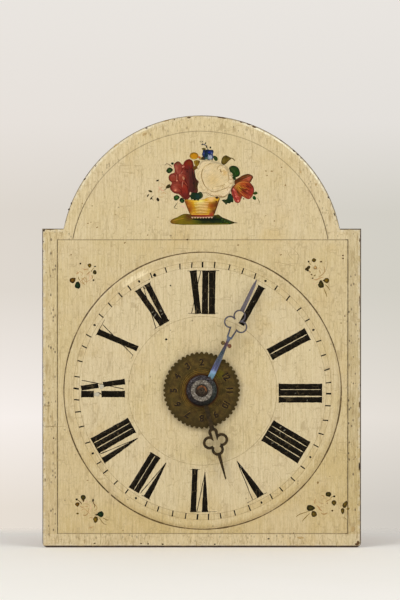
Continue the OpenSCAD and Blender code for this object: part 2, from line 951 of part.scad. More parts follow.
// Click that rests in a ratchet of the given tip radius, drawn round the ratchet's centre
module click_outline(tip) {
    root = tip - ratchet_depth;
    pivot = click_pivot(tip);
    difference() {
        union() {
            polygon([
                polar(root + click_air + 0.1, 91.4),
                polar(tip + 0.4, 91.4),
                polar(tip + 2.6, 98),
                pivot + polar(click_boss_r - 0.1, 95),
                pivot + polar(click_boss_r - 0.1, 330),
                polar(tip + 0.5, 116),
                polar(root + ratchet_depth * 0.5 + click_air, 102)
            ]);
            dot(pivot, click_boss_r);
        }
        dot(pivot, click_pin_r + running_fit);
    }
}

module going_click() {
    color("slategray")
    slab(ratchet_y, ratchet_y + ratchet_t - 0.2)
        translate(great_at)
            click_outline(going_ratchet_r);
}

// Curved leaf spring that reaches over the back of a click, with its riveted foot
module click_spring_outline(tip) {
    r = tip + 2 * click_boss_r + 0.8;
    turns = [for (i = [0 : 12]) 104 + i * 5];
    union() {
        polygon(concat(
            [for (a = turns) polar(r + click_spring_t, a)],
            [for (i = [12 : -1 : 0]) polar(r, turns[i])]
        ));
        dot(polar(r + click_spring_t / 2, 166), 1.6);
    }
}

module going_click_spring() {
    color("silver")
    slab(great_wheel_y + great_wheel_t, great_wheel_y + great_wheel_t + 2)
        translate(great_at)
            click_spring_outline(going_ratchet_r);
}

// Arbor with pivots in two boards and a lantern pinion of thin rods between two discs
module lantern_arbor(at, pitch_r, rod_r, first, y0, y1) {
    disc = pitch_r + rod_r + 0.5;
    core = min(thin_arbor_r, pitch_r - rod_r - 0.75);
    front = front_plate_y + 2;
    back = middle_plate_y + plate_t - 2;
    turned(at, [
        [0, front],
        [thin_pivot_r, front],
        [thin_pivot_r, plate_back[0] + 0.3],
        [thin_arbor_r, plate_back[0] + 0.3],
        [thin_arbor_r, y0 + 0.1],
        [disc, y0 + 0.1],
        [disc, y0 + 1.1],
        [core, y0 + 1.1],
        [core, y1 - 1.1],
        [disc, y1 - 1.1],
        [disc, y1 - 0.1],
        [thin_arbor_r, y1 - 0.1],
        [thin_arbor_r, middle_plate_y - 0.3],
        [thin_pivot_r, middle_plate_y - 0.3],
        [thin_pivot_r, back],
        [0, back]
    ]);
    for (i = [0 : lantern_rods - 1])
        rod(at + polar(pitch_r, first + i * 360 / lantern_rods), rod_r, y0 + 1, y1 - 1);
}

module second_arbor() {
    color("slategray")
    lantern_arbor(second_at, great_lantern_r, great_rod_r, great_to_second + 180,
        great_wheel_y - 2.4, great_wheel_y + great_wheel_t + 2.4);
}

module second_wheel() {
    color("goldenrod")
    slab(second_wheel_y, second_wheel_y + second_wheel_t)
        translate(second_at)
            difference() {
                rotate(second_to_escape)
                    polygon(lantern_wheel_points(train_teeth, second_pitch_r,
                        second_lantern_r, second_rod_r));
                spokes(second_pitch_r - 4, 5, 4, 3);
                circle(thin_arbor_r, $fn = 64);
            }
}

module escape_arbor() {
    color("slategray")
    lantern_arbor(escape_at, second_lantern_r, second_rod_r, second_to_escape + 180,
        second_wheel_y - 2.4, second_wheel_y + second_wheel_t + 2.4);
}

module escape_wheel() {
    color("goldenrod")
    slab(escape_wheel_y, escape_wheel_y + escape_wheel_t)
        translate(escape_at)
            difference() {
                polygon(saw_points(escape_teeth, escape_tip_r - 2.8, escape_tip_r));
                spokes(escape_tip_r - 5, 4, 4, 2.4);
                circle(thin_arbor_r, $fn = 64);
            }
}

module anchor_arbor() {
    back = wall_y - 6;
    color("slategray")
    turned(anchor_at, [
        [0, front_plate_y + 2],
        [thin_pivot_r, front_plate_y + 2],
        [thin_pivot_r, plate_back[0] + 0.3],
        [anchor_arbor_r, plate_back[0] + 0.3],
        [anchor_arbor_r, rear_plate_y - 0.3],
        [thin_pivot_r, rear_plate_y - 0.3],
        [thin_pivot_r, back],
        [0, back]
    ]);
}

pallet_air = 1.2;

module anchor() {
    tip = escape_tip_r + pallet_air;
    arm = [
        [3, anchor_lift + 3],
        polar(tip + 4.6, 44),
        polar(tip + 1.2, 38),
        polar(tip, 45),
        polar(tip + 0.9, 65),
        [2.5, anchor_lift - 3]
    ];
    color("slategray")
    slab(escape_wheel_y - 0.6, escape_wheel_y + escape_wheel_t + 0.6)
        difference() {
            translate(escape_at)
                polygon(concat(
                    [[0, anchor_lift + 4]],
                    arm,
                    [for (i = [len(arm) - 1 : -1 : 0]) [-arm[i][0], arm[i][1]]]
                ));
            translate(anchor_at)
                circle(anchor_arbor_r, $fn = 64);
        }
}

crutch_len = 50;
crutch_wire_r = 0.9;
crutch_half = 2.4;
crutch_y = frame_d + 3.5;

module crutch() {
    fork_z = anchor_at[1] - crutch_len;
    color("slategray")
    difference() {
        union() {
            rod(anchor_at, 3, crutch_y - 1.5, crutch_y + 1.5);
            wire(anchor_at - [0, 2], [anchor_at[0], fork_z], crutch_wire_r, crutch_y);
            wire([-crutch_half - crutch_wire_r, fork_z], [crutch_half + crutch_wire_r, fork_z],
                crutch_wire_r, crutch_y);
            for (s = [-1, 1])
                rod([s * crutch_half, fork_z], crutch_wire_r, crutch_y, crutch_y + 6);
        }
        rod(anchor_at, thin_pivot_r, crutch_y - 2, crutch_y + 2);
    }
}

hook_z = inner_h - 7;

module pendulum_hook() {
    color("slategray")
    union() {
        turned([0, hook_z], [
            [0, back_board_y],
            [1.5, back_board_y],
            [1.5, back_board_y + back_t],
            [4, back_board_y + back_t],
            [4, back_board_y + back_t + 1],
            [1.5, back_board_y + back_t + 1],
            [1.5, wall_y - 5],
            [0, wall_y - 5]
        ]);
        wire([0, hook_z], [0, hook_z + 4], 1.1, wall_y - 6.6);
    }
}

module alarm_arbor() {
    collar_y = alarm_sprocket_front_y - 0.2;
    color("slategray")
    turned(alarm_at, [
        [0, middle_plate_y + 2],
        [great_pivot_r, middle_plate_y + 2],
        [great_pivot_r, plate_back[1] + 0.3],
        [great_arbor_r, plate_back[1] + 0.3],
        [great_arbor_r, collar_y - 1.2],
        [collar_r + 0.6, collar_y - 1.2],
        [collar_r + 0.6, collar_y],
        [great_arbor_r, collar_y],
        [great_arbor_r, rear_plate_y - 0.3],
        [great_pivot_r, rear_plate_y - 0.3],
        [great_pivot_r, rear_plate_y + plate_t - 2],
        [0, rear_plate_y + plate_t - 2]
    ]);
}

module alarm_wheel() {
    color("goldenrod")
    union() {
        slab(alarm_wheel_y, alarm_wheel_y + alarm_wheel_t)
            translate(alarm_at)
                difference() {
                    polygon([
                        for (i = [0 : alarm_wheel_teeth - 1])
                            each [
                                polar(alarm_wheel_r - 3, (i - 0.34) * 360 / alarm_wheel_teeth),
                                polar(alarm_wheel_r, (i - 0.06) * 360 / alarm_wheel_teeth),
                                polar(alarm_wheel_r, (i + 0.06) * 360 / alarm_wheel_teeth),
                                polar(alarm_wheel_r - 3, (i + 0.34) * 360 / alarm_wheel_teeth)
                            ]
                    ]);
                    circle(great_arbor_r, $fn = 64);
                }
        rod(alarm_at + click_pivot(alarm_ratchet_r), click_pin_r,
            alarm_ratchet_y - 0.3, alarm_wheel_y + eps);
    }
}

module alarm_sprocket() {
    color("burlywood")
    sprocket(alarm_at, great_arbor_r + running_fit, alarm_ratchet_r, 6, 6,
        alarm_ratchet_y, alarm_sprocket_front_y, alarm_last_y);
}

module alarm_click() {
    color("slategray")
    slab(alarm_ratchet_y + 0.2, alarm_ratchet_y + ratchet_t)
        translate(alarm_at)
            click_outline(alarm_ratchet_r);
}

module alarm_click_spring() {
    color("silver")
    slab(alarm_wheel_y - 2, alarm_wheel_y)
        translate(alarm_at)
            click_spring_outline(alarm_ratchet_r);
}

module hammer_arbor() {
    color("slategray")
    turned(hammer_at, [
        [0, middle_plate_y + 2],
        [thin_pivot_r, middle_plate_y + 2],
        [thin_pivot_r, plate_back[1] + 0.3],
        [anchor_arbor_r, plate_back[1] + 0.3],
        [anchor_arbor_r, rear_plate_y - 0.3],
        [thin_pivot_r, rear_plate_y - 0.3],
        [thin_pivot_r, rear_plate_y + plate_t - 2],
        [0, rear_plate_y + plate_t - 2]
    ]);
}

hub_r = 3.5;
pallet_wire_r = 1.3;
pallet_pad_r = 1.5;
left_pallet_at = alarm_at + polar(alarm_wheel_r + pallet_pad_r + 1.6, 120);
right_pallet_at = alarm_at + polar(alarm_wheel_r + pallet_pad_r + 5, 37);

module alarm_pallets() {
    y = alarm_wheel_y + alarm_wheel_t / 2;
    color("slategray")
    difference() {
        union() {
            rod(hammer_at, hub_r, y - 1, y + 3);
            for (p = [left_pallet_at, right_pallet_at]) {
                d = (p - hammer_at) / norm(p - hammer_at);
                wire(hammer_at + d * 2.4, p, pallet_wire_r, y + 0.4);
                rod(p, pallet_pad_r, y - 1.6, y + 1.8);
            }
        }
        rod(hammer_at, anchor_arbor_r, y - 2, y + 4);
    }
}

tail_end = hammer_at + [-18, 2];

module hammer() {
    d = (hammer_end - hammer_at) / norm(hammer_end - hammer_at);
    t = (tail_end - hammer_at) / norm(tail_end - hammer_at);
    color("slategray")
    difference() {
        union() {
            rod(hammer_at, hub_r, hammer_y - 2, hammer_y + 1.6);
            wire(hammer_at + d * 2.4, hammer_end, hammer_wire_r, hammer_y);
            wire(hammer_at + t * 2.4, tail_end, hammer_wire_r, hammer_y);
            translate([hammer_end[0] - hammer_len / 2, hammer_y, hammer_end[1]])
                rotate([0, 90, 0])
                    rotate_extrude($fn = 64)
                        polygon([
                            [0, 0],
                            [hammer_r - 1.2, 0],
                            [hammer_r, 2],
                            [hammer_r, hammer_len - 1],
                            [hammer_r - 1, hammer_len],
                            [0, hammer_len]
                        ]);
        }
        rod(hammer_at, anchor_arbor_r, hammer_y - 3, hammer_y + 3);
    }
}

nose_at = [0, dial_z + cam_lobe_r + lever_air + lever_wire_r];
lever_rear_at = tail_end + [2, 9];

module release_lever() {
    color("slategray")
    union() {
        turned(release_at, [
            [0, cam_front_y - 0.2],
            [2.6, cam_front_y - 0.2],
            [2.6, cam_front_y + cam_t + 0.2],
            [thin_pivot_r, cam_front_y + cam_t + 0.2],
            [thin_pivot_r, plate_back[0] + 0.3],
            [release_arbor_r, plate_back[0] + 0.3],
            [release_arbor_r, hammer_y - 2],
            [2.8, hammer_y - 2],
            [2.8, hammer_y + 2],
            [release_arbor_r, hammer_y + 2],
            [release_arbor_r, rear_plate_y - 0.3],
            [thin_pivot_r, rear_plate_y - 0.3],
            [thin_pivot_r, rear_plate_y + plate_t - 2],
            [0, rear_plate_y + plate_t - 2]
        ]);
        wire(release_at, nose_at, lever_wire_r, lever_y);
        wire(release_at, lever_rear_at, lever_wire_r, hammer_y);
    }
}

// Bell wall as radius and height above the mouth, for a share i of the way up
function bell_point(r, h, i) = [max(bell_post_r, r * pow(cos(90 * i), 0.75)), h * sin(90 * i)];

module bell() {
    steps = [for (i = [0 : 12]) i / 12];
    down = [for (i = [12 : -1 : 0]) i / 12];
    color("lightgoldenrodyellow")
    translate([bell_at[0], bell_at[1], bell_mouth_z])
        rotate_extrude($fn = 128)
            polygon(concat(
                [for (i = steps) bell_point(bell_r, bell_h, i)],
                [for (i = down) bell_point(bell_r - bell_wall, bell_h - bell_wall, i)]
            ));
}

crown_z = bell_mouth_z + bell_h;
nut_h = 4;

module bell_stand() {
    shoulder_z = bell_mouth_z + (bell_h - bell_wall) * sin(82.5);
    color("slategray")
    translate([bell_at[0], bell_at[1], 0])
        rotate_extrude($fn = 64)
            polygon([
                [0, inner_h + 1],
                [bell_post_r, inner_h + 1],
                [bell_post_r, frame_h],
                [7, frame_h],
                [7, frame_h + 1.5],
                [bell_post_r, frame_h + 4],
                [bell_post_r, shoulder_z - 4],
                [5, shoulder_z - 2],
                [5, shoulder_z],
                [bell_post_r, shoulder_z],
                [bell_post_r, crown_z + nut_h + 0.6],
                [0, crown_z + nut_h + 1.2]
            ]);
}

module bell_nut() {
    color("slategray")
    translate([bell_at[0], bell_at[1], crown_z])
        difference() {
            cylinder(h = nut_h, r = 5.6, $fn = 6);
            translate([0, 0, -1])
                cylinder(h = nut_h + 2, r = bell_post_r, $fn = 64);
        }
}

post_x = post_outer_x - post_w / 2;
post_ys = [post_front_y + post_w / 2, post_back_y - post_w / 2];
door_pin_r = 0.8;
door_pin_grip = 10;
hinge_y = post_back_y - door_t / 2;
hinge_x = half_w - door_t / 2;
screw_x = 8;
screw_y = frame_d - 12;
screw_r = 1.6;

// Board with sockets for the uprights, the posts and the door pins, on the side that dir points to
module frame_board(z0, dir) {
    face = dir > 0 ? z0 + frame_board_t : z0;
    difference() {
        translate([-half_w, 0, z0])
            cube([frame_w, frame_d, frame_board_t]);
        for (y = plate_front, s = [-1, 1])
            translate([s * tenon_x - tenon_w / 2, y, dir > 0 ? face - tenon_l : face - 1])
                cube([tenon_w, plate_t, tenon_l + 1]);
        for (y = post_ys, s = [-1, 1])
            translate([s * post_x, y, dir > 0 ? face - dowel_l : face - 1])
                cylinder(h = dowel_l + 1, r = dowel_r, $fn = 48);
        for (s = [-1, 1])
            translate([s * hinge_x, hinge_y, z0 - 1])
                cylinder(h = frame_board_t + 2, r = door_pin_r, $fn = 32);
    }
}

module bottom_board() {
    color("sienna")
    difference() {
        frame_board(0, 1);
        for (s = [-1, 1]) {
            translate([great_at[0] + s * chain_x, going_chain_y, -1])
                cylinder(h = frame_board_t + 2, r = chain_hole_r, $fn = 64);
            translate([alarm_at[0] + s * alarm_chain_x, alarm_chain_y, -1])
                cylinder(h = frame_board_t + 2, r = chain_hole_r, $fn = 64);
        }
    }
}

slot_half_w = 2.5;
slot_air = 1.5;

// Sideways place of the hammer's wire at height z when the hammer has swung out by a
function hammer_x(z, a) = hammer_at[0] + (z - hammer_at[1])
    * tan(atan2(hammer_end[0] - hammer_at[0], hammer_end[1] - hammer_at[1]) + a);

module top_board() {
    slot_from = hammer_x(inner_h, 0) - hammer_wire_r - slot_air;
    slot_to = hammer_x(frame_h, hammer_swing) + hammer_wire_r + slot_air;
    color("sienna")
    difference() {
        frame_board(inner_h, -1);
        translate([slot_from, hammer_y - slot_half_w, inner_h - 1])
            cube([slot_to - slot_from, 2 * slot_half_w, frame_board_t + 2]);
        for (s = [-1, 1]) {
            translate([s * lift_pin_x, batten_y / 2, inner_h - 1])
                cylinder(h = frame_board_t + 2, r = lift_pin_r + lift_pin_air, $fn = 48);
            translate([s * screw_x, screw_y, frame_h - 7])
                cylinder(h = 8, r = screw_r, $fn = 32);
        }
        translate([bell_at[0], bell_at[1], inner_h + 1])
            cylinder(h = frame_board_t, r = bell_post_r, $fn = 64);
    }
}

// Every bushed pivot: which upright it is in, its place and its radius
pivots = [
    [0, great_at, great_front_r], [0, second_at, thin_pivot_r], [0, escape_at, thin_pivot_r],
    [0, anchor_at, thin_pivot_r], [0, release_at, thin_pivot_r], [1, great_at, great_pivot_r],
    [1, second_at, thin_pivot_r], [1, escape_at, thin_pivot_r], [1, alarm_at, great_pivot_r],
    [1, hammer_at, thin_pivot_r], [2, alarm_at, great_pivot_r], [2, hammer_at, thin_pivot_r],
    [2, anchor_at, thin_pivot_r], [2, release_at, thin_pivot_r]
];

// Arbors that only pass through an upright, and the stud's own hole
passes = [
    [1, anchor_at, anchor_arbor_r + pass_air], [1, release_at, release_arbor_r + pass_air],
    [0, [0, dial_z], stud_r]
];

module bushes() {
    color("gold")
    for (p = pivots)
        turned(p[1], [
            [p[2] + running_fit, plate_front[p[0]]],
            [p[2] + running_fit + bush_wall, plate_front[p[0]]],
            [p[2] + running_fit + bush_wall, plate_back[p[0]]],
            [p[2] + running_fit, plate_back[p[0]]]
        ]);
}

// Upright board number i with its tenons and holes
module plate(i) {
    y = plate_front[i];
    difference() {
        union() {
            translate([-plate_w / 2, y, frame_board_t])
                cube([plate_w, plate_t, inner_h - frame_board_t]);
            for (s = [-1, 1])
                translate([s * tenon_x - tenon_w / 2, y, frame_board_t - tenon_l])
                    cube([tenon_w, plate_t, inner_h - frame_board_t + 2 * tenon_l]);
        }
        for (p = pivots)
            if (p[0] == i)
                rod(p[1], p[2] + running_fit + bush_wall, y - 1, y + plate_t + 1);
        for (p = passes)
            if (p[0] == i)
                rod(p[1], p[2], y - 1, y + plate_t + 1);
    }
}

module front_plate() {
    color("tan") plate(0);
}

module middle_plate() {
    color("tan") plate(1);
}

module rear_plate() {
    color("tan") plate(2);
}

nail_r = 0.8;
nail_head_r = 1.8;
nail_l = 10;
nail_zs = [20, frame_h / 2, inner_h - 11];

module corner_posts() {
    color("peru")
    difference() {
        for (x = [-post_x, post_x], y = post_ys) {
            translate([x - post_w / 2, y - post_w / 2, frame_board_t])
                cube([post_w, post_w, inner_h - frame_board_t]);
            translate([x, y, frame_board_t - dowel_l])
                cylinder(h = inner_h - frame_board_t + 2 * dowel_l, r = dowel_r, $fn = 48);
        }
        for (x = [-post_x, post_x], z = nail_zs)
            rod([x, z], nail_r, back_board_y + back_t - nail_l, back_board_y + 1);
    }
}

spacer_at = [45, 25];
spacer_peg_r = 2.5;
anchor_hole_r = 5;

module back_board() {
    color("burlywood")
    difference() {
        translate([-post_outer_x, back_board_y, frame_board_t + door_gap])
            cube([2 * post_outer_x, back_t, inner_h - frame_board_t - 2 * door_gap]);
        for (x = [-post_x, post_x], z = nail_zs)
            rod([x, z], nail_r, back_board_y - 1, back_board_y + back_t + 1);
        for (s = [-1, 1])
            rod([s * spacer_at[0], spacer_at[1]], spacer_peg_r, back_board_y - 1, back_board_y + back_t + 1);
        rod(anchor_at, anchor_hole_r, back_board_y - 1, back_board_y + back_t + 1);
        rod([0, hook_z], 1.5, back_board_y - 1, back_board_y + back_t + 1);
    }
}

module back_board_nails() {
    y = back_board_y + back_t;
    color("dimgray")
    for (x = [-post_x, post_x], z = nail_zs)
        turned([x, z], [
            [0, y - nail_l],
            [nail_r, y - nail_l + 2],
            [nail_r, y],
            [nail_head_r, y],
            [nail_head_r, y + 0.4],
            [0, y + 0.7]
        ]);
}

door_front_y = 3;
knob_y = 14;
knob_z = frame_h / 2;
knob_stem_r = 1.6;
knob_grip = 2.5;

// Side door with a round rear edge about its hinge line; s is the side
module door(s) {
    low = frame_board_t + door_gap;
    high = inner_h - door_gap;
    difference() {
        translate([0, 0, low])
            linear_extrude(high - low) {
                translate([s * hinge_x - door_t / 2, door_front_y])
                    square([door_t, hinge_y - door_front_y]);
                dot([s * hinge_x, hinge_y], door_t / 2);
            }
        translate([s * hinge_x, hinge_y, low - 1])
            cylinder(h = door_pin_grip + 1.5, r = door_pin_r + running_fit, $fn = 32);
        translate([s * hinge_x, hinge_y, high - door_pin_grip - 0.5])
            cylinder(h = door_pin_grip + 1.5, r = door_pin_r + running_fit, $fn = 32);
        translate([s * (half_w - knob_grip), knob_y, knob_z])
            rotate([0, s * 90, 0])
                cylinder(h = knob_grip + 1, r = knob_stem_r, $fn = 32);
    }
}

module door_left() {
    color("chocolate") door(-1);
}

module door_right() {
    color("chocolate") door(1);
}

module door_pins() {
    color("dimgray")
    for (s = [-1, 1]) {
        translate([s * hinge_x, hinge_y, 1])
            cylinder(h = frame_board_t + door_gap + door_pin_grip - 1, r = door_pin_r, $fn = 32);
        translate([s * hinge_x, hinge_y, inner_h - door_gap - door_pin_grip])
            cylinder(h = frame_board_t + door_gap + door_pin_grip, r = door_pin_r, $fn = 32);
    }
}

// Small turned knob on a door
module knob(s) {
    translate([s * half_w, knob_y, knob_z])
        rotate([0, s * 90, 0])
            rotate_extrude($fn = 64)
                polygon([
                    [0, -knob_grip],
                    [knob_stem_r, -knob_grip],
                    [knob_stem_r, 0],
                    [3, 0],
                    [2, 1.8],
                    [3.6, 3],
                    [4.4, 4.6],
                    [4.2, 6.4],
                    [2.6, 7.8],
                    [0, 8.3]
                ]);
}

module knob_left() {
    color("saddlebrown") knob(-1);
}

module knob_right() {
    color("saddlebrown") knob(1);
}

hang_rise = 12;

module hanging_plate() {
    hole_z = frame_h + hang_rise;
    color("dimgray")
    difference() {
        union() {
            translate([-hang_half_w, screw_y - 8, frame_h])
                cube([2 * hang_half_w, wall_y - screw_y + 8, hang_plate_t]);
            slab(wall_y - hang_plate_t, wall_y) {
                translate([-hang_half_w, frame_h])
                    square([2 * hang_half_w, hang_rise]);
                dot([0, hole_z], hang_half_w);
            }
        }
        rod([0, hole_z], hang_hole_r, wall_y - hang_plate_t - 1, wall_y + 1);
        for (s = [-1, 1])
            translate([s * screw_x, screw_y, frame_h - 1])
                cylinder(h = hang_plate_t + 2, r = screw_r, $fn = 32);
    }
}

module hanging_screws() {
    top = frame_h + hang_plate_t;
    color("gray")
    for (s = [-1, 1])
        translate([s * screw_x, screw_y, 0])
            difference() {
                rotate_extrude($fn = 48)
                    polygon([
                        [0, frame_h - 7],
                        [screw_r, frame_h - 5],
                        [screw_r, top],
                        [3, top],
                        [2.7, top + 1],
                        [0, top + 1.6]
                    ]);
                translate([-4, -0.3, top + 0.8])
                    cube([8, 0.6, 2]);
            }
}

module wall_spacers() {
    y = back_board_y + back_t;
    color("saddlebrown")
    for (s = [-1, 1])
        turned([s * spacer_at[0], spacer_at[1]], [
            [0, back_board_y],
            [spacer_peg_r, back_board_y],
            [spacer_peg_r, y],
            [5, y],
            [3.4, wall_y - 1],
            [3, wall_y],
            [0, wall_y]
        ]);
}

shield_board();
shield_batten_top();
shield_batten_bottom();
shield_pin_left();
shield_pin_right();
alarm_disc();
alarm_tube();
alarm_cam();
hour_hand();
hour_wheel();
minute_hand();
hand_washer();
cannon_tube();
cannon_wheel();
centre_stud();
change_wheel();
change_pinion();
friction_spring();
great_arbor();
great_wheel();
going_sprocket();
going_click();
going_click_spring();
second_arbor();
second_wheel();
escape_arbor();
escape_wheel();
anchor_arbor();
anchor();
crutch();
pendulum_hook();
alarm_arbor();
alarm_wheel();
alarm_sprocket();
alarm_click();
alarm_click_spring();
hammer_arbor();
alarm_pallets();
hammer();
release_lever();
bell();
bell_stand();
bell_nut();
bottom_board();
top_board();
front_plate();
middle_plate();
rear_plate();
corner_posts();
back_board();
back_board_nails();
door_left();
door_right();
door_pins();
knob_left();
knob_right();
hanging_plate();
hanging_screws();
wall_spacers();
bushes();
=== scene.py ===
import json
import math

import bmesh
import bpy
from mathutils import Matrix, Vector, noise


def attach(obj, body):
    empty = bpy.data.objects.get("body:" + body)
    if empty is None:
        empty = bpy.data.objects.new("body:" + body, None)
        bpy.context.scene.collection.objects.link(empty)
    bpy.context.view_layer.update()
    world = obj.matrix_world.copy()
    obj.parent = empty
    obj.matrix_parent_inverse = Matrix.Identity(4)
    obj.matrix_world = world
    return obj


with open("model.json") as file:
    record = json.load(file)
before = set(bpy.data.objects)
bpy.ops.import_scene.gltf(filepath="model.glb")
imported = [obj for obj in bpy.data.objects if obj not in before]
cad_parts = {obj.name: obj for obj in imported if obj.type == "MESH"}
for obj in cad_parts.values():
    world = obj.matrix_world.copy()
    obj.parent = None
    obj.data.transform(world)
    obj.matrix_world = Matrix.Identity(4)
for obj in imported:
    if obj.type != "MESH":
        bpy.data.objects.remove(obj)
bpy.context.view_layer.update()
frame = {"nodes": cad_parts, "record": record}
nodes = frame["nodes"]
print("frame loaded:", len(nodes), "nodes")

# Lengths in settings are millimetres in the model's frame: X right, Y back, Z up from the foot.
mm = 0.001
pixel = 0.7547
boardFront = -9.0
dialFront = -9.8
dialCentre = (0.0, 118.5)
archCentre = (0.0, 219.2)
boardHalf = 120.0
shoulder = 240.0
archRadius = 106.0
borderWide = 10.2
borderDrop = 1.2
bumpDistance = 0.001
# The painted circles and minute marks sit a little right of and below the turned rim.
ringCentre = (0.65, 118.0)
numeralCentre = (0.05, 118.4)
minuteAngle = 26.4
minuteLength = 95.0


def tone(red, green, blue):
    def linear(value):
        share = value / 255
        return share / 12.92 if share <= 0.04045 else ((share + 0.055) / 1.055) ** 2.4

    return (linear(red), linear(green), linear(blue), 1.0)


# A thin layer over a node tree, so that a material reads as one formula after another.
class Graph:
    def __init__(self, tree):
        self.tree = tree

    def feed(self, socket, source):
        if isinstance(source, bpy.types.NodeSocket):
            self.tree.links.new(source, socket)
        elif source is not None:
            socket.default_value = source

    def node(self, kind, sources=(), **settings):
        made = self.tree.nodes.new("ShaderNode" + kind)
        for name, value in settings.items():
            setattr(made, name, value)
        pairs = sources.items() if isinstance(sources, dict) else enumerate(sources)
        for key, source in pairs:
            self.feed(made.inputs[key], source)
        return made

    def math(self, operation, *sources):
        return self.node("Math", sources, operation=operation).outputs[0]

    def times(self, *sources):
        return self.math("MULTIPLY", *sources)

    def plus(self, *sources):
        return self.math("ADD", *sources)

    def minus(self, *sources):
        return self.math("SUBTRACT", *sources)

    def most(self, *sources):
        return self.math("MAXIMUM", *sources)

    def least(self, *sources):
        return self.math("MINIMUM", *sources)

    def vector(self, operation, *sources):
        made = self.node("VectorMath", sources, operation=operation)
        return made.outputs[1 if operation in ("LENGTH", "DISTANCE", "DOT_PRODUCT") else 0]

    # how far a place on the front lies from a centre given as (x, z)
    def away(self, flat, centre):
        return self.vector("DISTANCE", flat, (centre[0], 0.0, centre[1]))

    def split(self, vector):
        return list(self.node("SeparateXYZ", [vector]).outputs)

    def join(self, *parts):
        return self.node("CombineXYZ", parts).outputs[0]

    def stretch(self, place, factors):
        return self.vector("MULTIPLY", place, factors)

    def noise(self, place, scale, detail=3.0, roughness=0.55, distortion=0.0):
        sources = {"Vector": place, "Scale": scale, "Detail": detail,
                   "Roughness": roughness, "Distortion": distortion}
        return self.node("TexNoise", sources).outputs["Fac"]

    def cells(self, place, scale, feature="F1", distance="EUCLIDEAN"):
        sources = {"Vector": place, "Scale": scale, "Randomness": 1.0}
        return self.node("TexVoronoi", sources, feature=feature, distance=distance).outputs

    def span(self, value, low, high, toLow=0.0, toHigh=1.0, kind="SMOOTHSTEP"):
        sources = [value, low, high, toLow, toHigh]
        return self.node("MapRange", sources, interpolation_type=kind).outputs[0]

    def blend(self, share, first, second, kind="MIX"):
        made = self.node("Mix", {0: share, 6: first, 7: second}, data_type="RGBA",
                         blend_type=kind)
        return made.outputs[2]

    def ramp(self, value, stops, kind="LINEAR"):
        made = self.node("ValToRGB", [value])
        made.color_ramp.interpolation = kind
        elements = made.color_ramp.elements
        while len(elements) < len(stops):
            elements.new(0.5)
        for element, (place, colour) in zip(elements, stops):
            element.position = place
            element.color = colour
        return made.outputs[0]

    def group(self, tree, **sources):
        made = self.tree.nodes.new("ShaderNodeGroup")
        made.node_tree = tree
        for name, source in sources.items():
            self.feed(made.inputs[name], source)
        return made.outputs

    def place(self):
        coordinates = self.node("TexCoord")
        return self.vector("SCALE", coordinates.outputs["Object"], None, None, 1000.0)


def newGroup(name, takes, gives):
    tree = bpy.data.node_groups.new(name, "ShaderNodeTree")
    for label, kind, value in takes:
        socket = tree.interface.new_socket(name=label, in_out="INPUT",
                                           socket_type="NodeSocket" + kind)
        if value is not None:
            socket.default_value = value
    for label, kind in gives:
        tree.interface.new_socket(name=label, in_out="OUTPUT", socket_type="NodeSocket" + kind)
    start = tree.nodes.new("NodeGroupInput")
    end = tree.nodes.new("NodeGroupOutput")
    return Graph(tree), start.outputs, end.inputs


# Fine cracks that run up and across: the gap between the nearest and second cell of a square metric.
def crackleGroup():
    graph, given, result = newGroup(
        "crackle",
        [("Place", "Vector", None), ("Cell", "Float", 8.0), ("Width", "Float", 0.3)],
        [("Lines", "Float")],
    )
    place = given["Place"]
    waves = graph.node("TexNoise", {"Vector": place, "Scale": 0.35, "Detail": 2.0})
    sway = graph.vector("SCALE", waves.outputs["Color"], None, None, 1.6)
    bent = graph.stretch(graph.vector("ADD", place, sway), (1.25, 0.6, 0.72))
    small = graph.math("DIVIDE", 1.0, given["Cell"])
    first = graph.cells(bent, small, distance="CHEBYCHEV")["Distance"]
    second = graph.cells(bent, small, feature="F2", distance="CHEBYCHEV")["Distance"]
    gap = graph.times(graph.minus(second, first), given["Cell"])
    line = graph.span(gap, 0.0, given["Width"], 1.0, 0.0)
    open_ = graph.span(graph.noise(place, 0.09, 3.0), 0.4, 0.58)
    graph.feed(result["Lines"], graph.times(line, open_))
    return graph.tree


# Small round specks of dirt: some cells of a scattered pattern hold a dot.
def speckGroup():
    graph, given, result = newGroup(
        "specks",
        [("Place", "Vector", None), ("Spacing", "Float", 5.0), ("Size", "Float", 0.4),
         ("Share", "Float", 0.3)],
        [("Mask", "Float")],
    )
    found = graph.cells(given["Place"], graph.math("DIVIDE", 1.0, given["Spacing"]))
    reach = graph.times(found["Distance"], given["Spacing"])
    chosen = graph.split(found["Color"])
    there = graph.math("LESS_THAN", chosen[0], given["Share"])
    size = graph.times(given["Size"], graph.span(chosen[1], 0.0, 1.0, 0.4, 1.4, "LINEAR"))
    dot = graph.span(reach, graph.times(size, 0.6), size, 1.0, 0.0)
    graph.feed(result["Mask"], graph.times(dot, there))
    return graph.tree


# Softened edges: the normal of a rounded edge, and how far it leans from the flat one.
def edgeGroup():
    graph, given, result = newGroup(
        "softEdge",
        [("Radius", "Float", 0.0004)],
        [("Normal", "Vector"), ("Worn", "Float")],
    )
    rounded = graph.node("Bevel", [given["Radius"]], samples=4).outputs[0]
    flat = graph.node("NewGeometry").outputs["Normal"]
    lean = graph.minus(1.0, graph.vector("DOT_PRODUCT", rounded, flat))
    graph.feed(result["Normal"], rounded)
    graph.feed(result["Worn"], graph.span(lean, 0.02, 0.25))
    return graph.tree


